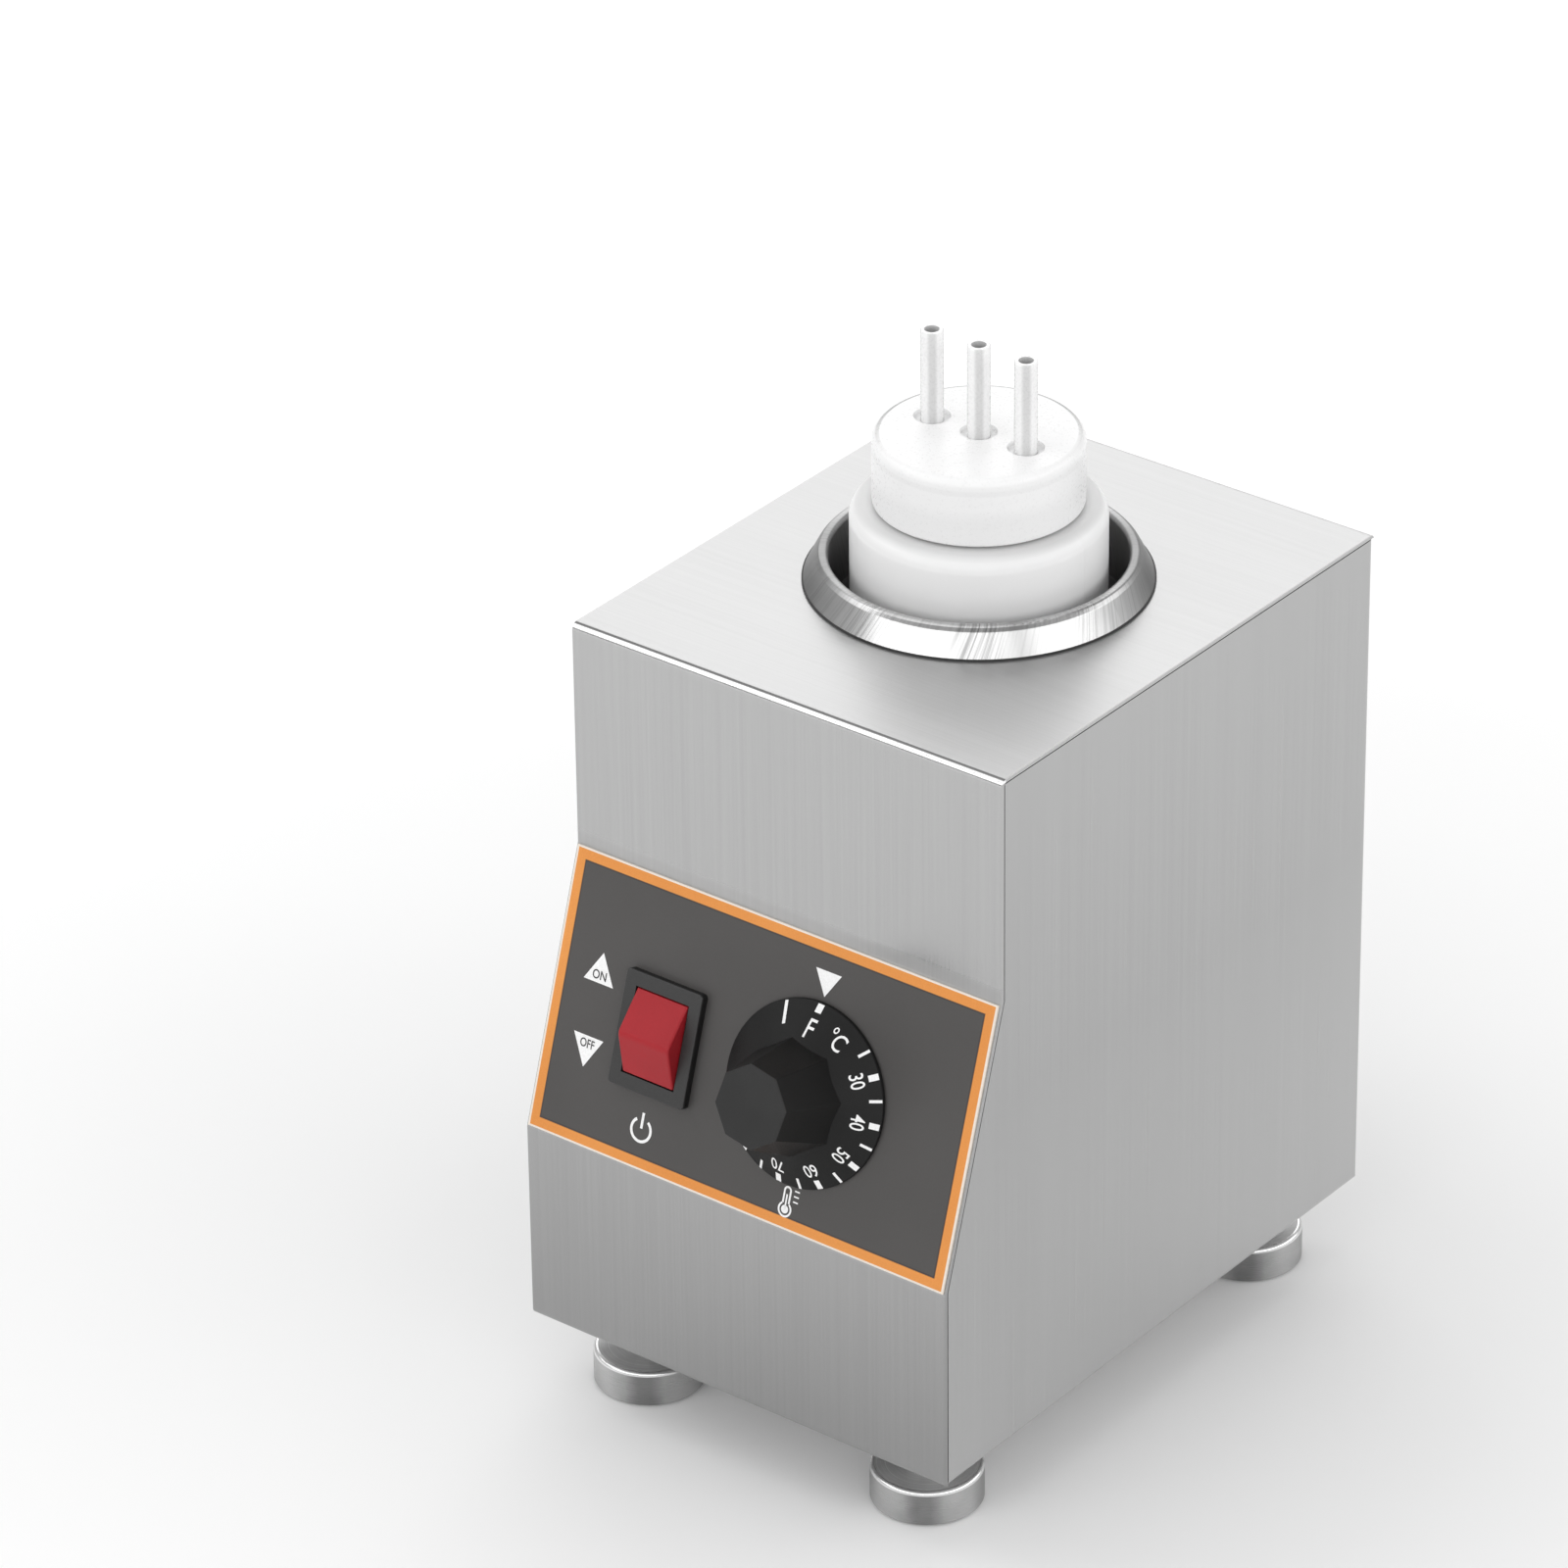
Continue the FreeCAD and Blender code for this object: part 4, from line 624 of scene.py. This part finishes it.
sign_right = -49.5
sign_up = -27.0
power_line = 0.8
power_arc = ring_outline(sign_right, sign_up, 3.6, power_line, start=125, end=415)
power_bar = bar_outline(sign_right, sign_up + 0.4, power_line, 4.4)
panel_print("power_sign", [power_arc, power_bar], white_ink)
thermometer_up = -34.0
glass_line = 0.55
tube_radius = 1.25
wall_right = tube_radius - glass_line / 2
bulb_up = thermometer_up + 1.6
tube = ring_outline(0.0, thermometer_up + 6.8, tube_radius, glass_line, start=0, end=180, steps=16)
bulb = ring_outline(0.0, bulb_up, 2.2, glass_line, start=125, end=415, steps=32)
left_wall = bar_outline(-wall_right, thermometer_up + 3.3, glass_line, 3.5)
right_wall = bar_outline(wall_right, thermometer_up + 3.3, glass_line, 3.5)
column = bar_outline(0.0, bulb_up, 0.5, 4.2)
drop = ring_outline(0.0, bulb_up, 1.15, 1.1, start=0, end=359, steps=24)
graduations = [bar_outline(3.0, thermometer_up + 4.2 + 1.5 * step, 1.6, 0.4) for step in range(3)]
thermometer = [tube, bulb, left_wall, right_wall, column, drop] + graduations
panel_print("thermometer_sign", thermometer, white_ink)


# Rocker switch: black moulded frame and housing, with a red rocker on a steel pin. The frame snaps
# into a hole in the panel, and the rocker tips 8 degrees to each side.
eroded_grain = 2800.0


def above_panel(finish):
    """Height over the panel, counted from the dial's place on it."""
    across = (finish.y - dial_centre.y) * panel_normal.y
    return across + (finish.z - dial_centre.z) * panel_normal.z


def moulded(name, light, dark, roughness, grain_scale=eroded_grain, depth=0.00004, gloss=0.5):
    """Moulded plastic with a fine eroded grain and slight clouding."""
    finish = Finish(name)
    grain = finish.noise(grain_scale, 3.0)
    cloud = finish.noise(60.0, 2.0)
    colour = finish.mix((grain * 0.4 + cloud * 0.6).spread(), dark, light)
    rough = grain.spread(roughness - 0.06, roughness + 0.08)
    return finish.surface(Base_Color=colour, Roughness=rough, Specular_IOR_Level=gloss,
                          Normal=finish.bump(grain, depth, 0.5))


def bezel_plastic():
    """Black switch plastic with a satin face, and painted shade that darkens its edges and the inside of
    its opening.
    """
    finish = Finish("switch_black")
    grain = finish.noise(eroded_grain, 3.0)
    face = finish.mix(grain.spread(), grey(42), grey(50))
    edge = finish.mix(grain.spread(), grey(12), grey(20))
    # Painted shade: the side walls and the inside of the opening, below the face, are darker.
    colour = finish.mix(above_panel(finish) > bezel_face - bezel_edge_round, edge, face)
    return finish.surface(Base_Color=colour, Roughness=grain.spread(0.36, 0.5),
                          Normal=finish.bump(grain, 0.00004, 0.5))


bezel_points = [vertex.co for vertex in frame["nodes"]["switch_bezel"].data.vertices]
bezel_face = max((point - dial_centre).dot(panel_normal) for point in bezel_points)
bezel_edge_round = 0.0006
dress(bezel_plastic(), "switch_bezel")
rocker_plastic = moulded("rocker_red", tone(172, 38, 46), tone(160, 32, 40), 0.4, grain_scale=1400.0,
                         depth=0.00002, gloss=0.25)
dress(rocker_plastic, "switch_rocker")


# Temperature dial: black moulded grip on a conical skirt, with its scale printed white on the skirt.
# It is pushed onto the thermostat's shaft, and turns with it from the off line to 90.
def knob_plastic():
    """Black knob plastic, with painted light that makes the flat end of the grip greyer."""
    finish = Finish("knob_black")
    grain = finish.noise(eroded_grain, 3.0)
    cloud = finish.noise(60.0, 2.0)
    colour = finish.mix((grain * 0.4 + cloud * 0.6).spread(), grey(20), grey(27))
    # Painted light: the flat end of the grip is greyer than the rest.
    wear_and_painted_light = finish.mix(cloud.spread(), grey(46), grey(52))
    colour = finish.mix(above_panel(finish) > grip_end - painted_light_depth, colour, wear_and_painted_light)
    return finish.surface(Base_Color=colour, Roughness=grain.spread(0.45, 0.6),
                          Specular_IOR_Level=0.22, Normal=finish.bump(grain, 0.00004, 0.5))


knob_points = [vertex.co for vertex in frame["nodes"]["thermostat_knob"].data.vertices]
grip_end = max((point - dial_centre).dot(panel_normal) for point in knob_points)
painted_light_depth = 0.0004
dress(knob_plastic(), "thermostat_knob")
skirt_radius = 0.0254
skirt_rim_height = 0.0012
skirt_top_radius = 0.0159
skirt_top_height = 0.0065
number_lift = 0.0001
tick_lift = 0.00008
tick_thickness = 0.00004


def on_skirt(right, up, lift):
    """Point just over the conical skirt, from the dial's axis rightwards and up the slope."""
    out = math.hypot(right, up)
    share = (skirt_radius - out) / (skirt_radius - skirt_top_radius)
    height = skirt_rim_height + share * (skirt_top_height - skirt_rim_height)
    return on_panel(right, up, height + lift)


def dial_words(name, words, height, clockwise, out):
    """Plain lettering on the skirt, read with its top outwards, at an angle clockwise from the top."""
    points, faces = lettering(words, height)
    turn = math.radians(clockwise)
    placed = []
    for x, y in points:
        across = x * number_stretch / 1000
        radial = (out + y) / 1000
        placed.append(on_skirt(across * math.cos(turn) + radial * math.sin(turn),
                               radial * math.cos(turn) - across * math.sin(turn), number_lift))
    make_piece(name, placed, faces, white_ink, "dial")


number_stretch = 0.9
number_angle = 61.0
number_step = 31.2
number_height = 3.5
number_distance = 20.1
numbers = range(30, 100, 10)
for index, number in enumerate(numbers):
    angle = number_angle + number_step * index
    dial_words("dial_number_%d" % number, str(number), number_height, angle, number_distance)
dial_words("dial_unit_celsius", "°C", height=4.3, clockwise=26.0, out=20.4)
dial_words("dial_unit_letter", "F", height=5.0, clockwise=2.0, out=18.9)


def tick_tree():
    """Tree of bars set round an axis, from their count, angles, distance, length, width and ink."""
    tree = bpy.data.node_groups.new("dial_ticks", "GeometryNodeTree")
    face = tree.interface
    face.new_socket(name="Geometry", in_out="OUTPUT", socket_type="NodeSocketGeometry")
    sizes = {"Count": "NodeSocketInt", "First Angle": "NodeSocketFloat", "Step": "NodeSocketFloat",
             "Inner Distance": "NodeSocketFloat", "Length": "NodeSocketFloat", "Width": "NodeSocketFloat",
             "Ink": "NodeSocketMaterial"}
    sockets = {name: face.new_socket(name=name, in_out="INPUT", socket_type=kind)
               for name, kind in sizes.items()}
    entry = tree.nodes.new("NodeGroupInput")
    exit_node = tree.nodes.new("NodeGroupOutput")

    def add(kind, settings=None, links=None):
        node = tree.nodes.new(kind)
        for name, setting in (settings or {}).items():
            setattr(node, name, setting)
        for name, source in (links or {}).items():
            if isinstance(source, bpy.types.NodeSocket):
                tree.links.new(source, node.inputs[name])
            else:
                node.inputs[name].default_value = source
        return node

    points = add("GeometryNodeMeshLine", links={"Count": entry.outputs["Count"], "Offset": (0, 0, 0)})
    half = add("ShaderNodeMath", {"operation": "MULTIPLY"}, {0: entry.outputs["Length"], 1: 0.5})
    middle = add("ShaderNodeMath", {"operation": "ADD"},
                 {0: entry.outputs["Inner Distance"], 1: half.outputs[0]})
    size = add("ShaderNodeCombineXYZ", links={"X": entry.outputs["Width"], "Y": entry.outputs["Length"],
                                              "Z": tick_thickness})
    bar = add("GeometryNodeMeshCube", links={"Size": size.outputs[0], "Vertices Y": 5, "Vertices X": 3})
    shift = add("ShaderNodeCombineXYZ", links={"Y": middle.outputs[0]})
    moved = add("GeometryNodeTransform", links={"Geometry": bar.outputs["Mesh"],
                                                "Translation": shift.outputs[0]})
    index = add("GeometryNodeInputIndex")
    turn = add("ShaderNodeMath", {"operation": "MULTIPLY_ADD"},
               {0: index.outputs[0], 1: entry.outputs["Step"], 2: entry.outputs["First Angle"]})
    rotation = add("ShaderNodeCombineXYZ", links={"Z": turn.outputs[0]})
    placed = add("GeometryNodeInstanceOnPoints", links={
        "Points": points.outputs["Mesh"], "Instance": moved.outputs["Geometry"],
        "Rotation": rotation.outputs[0]})
    real = add("GeometryNodeRealizeInstances", links={"Geometry": placed.outputs["Instances"]})
    inked = add("GeometryNodeSetMaterial", links={"Geometry": real.outputs["Geometry"],
                                                  "Material": entry.outputs["Ink"]})
    tree.links.new(inked.outputs["Geometry"], exit_node.inputs["Geometry"])
    return tree, {name: socket.identifier for name, socket in sockets.items()}


ticks, tick_inputs = tick_tree()


def dial_ticks(name, count, first, step, inner, length, width):
    """Ticks on the skirt, made round the Z axis and then laid on the cone."""
    holder = bpy.data.objects.new(name, bpy.data.meshes.new(name))
    bpy.context.scene.collection.objects.link(holder)
    modifier = holder.modifiers.new("ticks", "NODES")
    modifier.node_group = ticks
    sizes = {"Count": count, "First Angle": -math.radians(first), "Step": -math.radians(step),
             "Inner Distance": inner / 1000, "Length": length / 1000, "Width": width / 1000,
             "Ink": white_ink}
    for size_name, size in sizes.items():
        modifier[tick_inputs[size_name]] = size
    graph = bpy.context.evaluated_depsgraph_get()
    mesh = bpy.data.meshes.new_from_object(holder.evaluated_get(graph))
    points = [on_skirt(vertex.co.x, vertex.co.y, tick_lift + vertex.co.z) for vertex in mesh.vertices]
    faces = [list(polygon.vertices) for polygon in mesh.polygons]
    bpy.data.objects.remove(holder)
    make_piece(name, points, faces, white_ink, "dial")


half_step_angle = number_angle - number_step / 2 - 0.6
dial_ticks("dial_ticks_tens", len(numbers), number_angle, number_step,
           inner=22.8, length=2.4, width=1.7)
dial_ticks("dial_ticks_fives", len(numbers), half_step_angle, number_step,
           inner=22.3, length=3.0, width=0.8)
dial_ticks("dial_tick_zero", 1, first=1.3, step=0.0, inner=22.9, length=2.2, width=2.0)
dial_ticks("dial_tick_off", 1, first=-24.5, step=0.0, inner=19.2, length=5.8, width=1.0)


# Thermostat behind the dial: plated steel case with a brass shaft and tabs, held by screws behind the
# panel. A copper capillary runs from it to the copper bulb that is clipped to the well.
dress(plated("thermostat_plate", grey(196), grey(160), 0.32, 0.85), "thermostat_body")
dress(plated("brass_bright", tone(206, 178, 104), tone(176, 144, 74), 0.26),
      "thermostat_shaft", "thermostat_terminals", "switch_terminals", "cutout_terminals", "inlet_pins",
      "earth_stud")
dress(plated("copper_soft", tone(198, 128, 92), tone(160, 92, 62), 0.3), "capillary_tube", "sensor_bulb")


# Heater band, its ceramic posts and the wool that wraps the well: dull metal, glaze and soft fibre.
# Screws clamp the band round the well, and a black cut-out stops it when it runs too hot.
dress(wall_steel("aluminised_band", grey(158), grey(128), across_lines, 0.5), "heater_band")
dress(moulded("glazed_ceramic", tone(228, 222, 206), tone(214, 206, 188), 0.25), "heater_terminals")


def wool(name, light, dark):
    finish = Finish(name)
    fibre = finish.noise(1.0, 4.0, 0.7, along=(700.0, 700.0, 260.0))
    clump = finish.noise(90.0, 3.0)
    colour = finish.mix((fibre * 0.6 + clump * 0.4).spread(), dark, light)
    return finish.surface(Base_Color=colour, Roughness=fibre.spread(0.85, 1.0),
                          Normal=finish.bump(fibre + clump, 0.0006, 0.6))


dress(wool("mineral_wool", tone(222, 208, 158), tone(186, 168, 116)), "insulation_wrap", "insulation_pad")
dress(moulded("phenolic_black", grey(46), grey(34), 0.5), "thermal_cutout")


# Mains inlet and leads: black moulded socket screwed into the rear panel, and coloured leads whose
# sleeved terminals push onto the switch, thermostat, cut-out and heater.
dress(moulded("inlet_black", grey(48), grey(38), 0.45), "inlet_socket")
dress(moulded("sleeve_grey", grey(206), grey(190), 0.3), "lead_terminals")
dress(moulded("live_brown", tone(118, 74, 46), tone(98, 58, 34), 0.35), "live_leads")
dress(moulded("neutral_blue", tone(62, 100, 176), tone(46, 80, 150), 0.35), "neutral_leads")


def earth_stripe():
    """Green insulation with a yellow stripe that winds round the lead."""
    finish = Finish("earth_green_yellow")
    wave = (finish.x * 0.6 + finish.y * 0.5 + finish.z) * (2 * math.pi / stripe_pitch)
    stripe = wave.sine() > 0.2
    grain = finish.noise(2400.0, 2.0)
    green = finish.mix(grain, tone(52, 128, 58), tone(66, 146, 70))
    yellow = finish.mix(grain, tone(222, 196, 52), tone(232, 208, 70))
    return finish.surface(Base_Color=finish.mix(stripe, green, yellow),
                          Roughness=grain.spread(0.3, 0.42))


stripe_pitch = 0.006
dress(earth_stripe(), "earth_lead")


# Floor and lamps: one plain white floor, which is the backdrop too, and soft light from above, from the
# rear left and from the left. Four cards from the front left round to the rear right show in the steel.
def stage_plane(name, size, material):
    mesh = bpy.data.meshes.new(name)
    half = size / 2
    corners = [(-half, -half, 0), (half, -half, 0), (half, half, 0), (-half, half, 0)]
    mesh.from_pydata(corners, [], [(0, 1, 2, 3)])
    mesh.materials.append(material)
    plane = bpy.data.objects.new(name, mesh)
    bpy.context.scene.collection.objects.link(plane)


def floor_white():
    """Matt white floor that shows near white to the camera and keeps the object's shadow; its glow is
    weaker close to the object, a painted shade round it.
    """
    finish = Finish("floor_white")
    cloud = finish.noise(3.0, 2.0)
    path = finish.node("ShaderNodeLightPath")
    camera_ray, glossy_ray, through_ray = [
        Value(finish, path.outputs["Is %s Ray" % kind]) for kind in ("Camera", "Glossy", "Transmission")]
    seen = camera_ray.larger(glossy_ray).larger(through_ray)
    diffuse = finish.node("ShaderNodeBsdfDiffuse", inputs={
        "Color": finish.mix(cloud.spread(), grey(236), grey(240))})
    right, rear, out = finish.around(0.0, 0.0)
    # Painted shade: the floor's glow is weaker close to the object.
    near = finish.mix(out.ramp(0.15, 0.8), grey(66), grey(150))
    glow = finish.node("ShaderNodeEmission", inputs={
        "Color": finish.mix(out.ramp(0.85, 1.5), near, grey(194)), "Strength": 1.0})
    both = finish.node("ShaderNodeAddShader", inputs={0: diffuse.outputs[0], 1: glow.outputs[0]})
    shown = finish.node("ShaderNodeMixShader", inputs={
        0: seen, 1: diffuse.outputs[0], 2: both.outputs[0]})
    finish.node("ShaderNodeOutputMaterial", inputs={"Surface": shown.outputs[0]})
    return finish.material


floor_size = 8.0
stage_plane("floor", floor_size, floor_white())


def soft_lamp(name, place, target, width, height, watts):
    data = bpy.data.lights.new(name, "AREA")
    data.shape = "RECTANGLE"
    data.size = width
    data.size_y = height
    data.energy = watts
    lamp = bpy.data.objects.new(name, data)
    direction = Vector(target) - Vector(place)
    lamp.matrix_world = Matrix.Translation(place) @ direction.to_track_quat("-Z", "Y").to_matrix().to_4x4()
    bpy.context.scene.collection.objects.link(lamp)


aim = (0.0, 0.0, 0.14)
soft_lamp("lamp_overhead", (-0.25, 0.1, 1.7), aim, width=1.5, height=1.5, watts=5.4)
soft_lamp("lamp_rear_left", (-1.15, 1.5, 1.25), aim, width=1.9, height=1.3, watts=10.0)
soft_lamp("lamp_left", (-1.5, -0.7, 1.5), aim, width=1.2, height=1.2, watts=7.5)
card_distance = 1.73
card_height = 0.9
for number, azimuth in enumerate((-15.4, 33.9, 83.2, 132.4)):
    side = math.radians(azimuth)
    card_place = (card_distance * math.sin(side), -card_distance * math.cos(side), card_height)
    soft_lamp("lamp_card_%d" % number, card_place, aim, width=1.585, height=0.7, watts=6.2)

world_level = 0.46
world = bpy.data.worlds.new("studio")
bpy.context.scene.world = world
world.use_nodes = True
background = world.node_tree.nodes["Background"]
background.inputs["Color"].default_value = grey(255)
background.inputs["Strength"].default_value = world_level


# Camera: a long lens that looks down on the front right corner of the casing. Its turn, place and
# lens, in degrees and millimetres, are solved from the edges of the casing in the photograph.
camera_azimuth = 38.2606
camera_elevation = 29.7107
camera_roll = -0.7773
camera_lens = 194.79
camera_sensor = 36.0
camera_reach = 50.0
camera_place = (1180.87, -1562.18, 1289.65)


def camera_turn(azimuth, elevation, roll):
    """Columns are the camera's right, up and backward directions."""
    side = math.radians(azimuth)
    rise = math.radians(elevation)
    back = Vector((math.sin(side) * math.cos(rise), -math.cos(side) * math.cos(rise), math.sin(rise)))
    right = Vector((0, 0, 1)).cross(back).normalized()
    up = back.cross(right)
    lean = math.radians(roll)
    leaned_right = right * math.cos(lean) + up * math.sin(lean)
    leaned_up = up * math.cos(lean) - right * math.sin(lean)
    return Matrix((leaned_right, leaned_up, back)).transposed()


camera_data = bpy.data.cameras.new("camera")
camera_data.lens = camera_lens
camera_data.sensor_width = camera_sensor
camera_data.clip_end = camera_reach
camera = bpy.data.objects.new("camera", camera_data)
turn = camera_turn(camera_azimuth, camera_elevation, camera_roll).to_4x4()
camera.matrix_world = Matrix.Translation(Vector(camera_place) / 1000) @ turn
bpy.context.scene.collection.objects.link(camera)
bpy.context.scene.camera = camera
bpy.context.scene.view_settings.view_transform = "Standard"
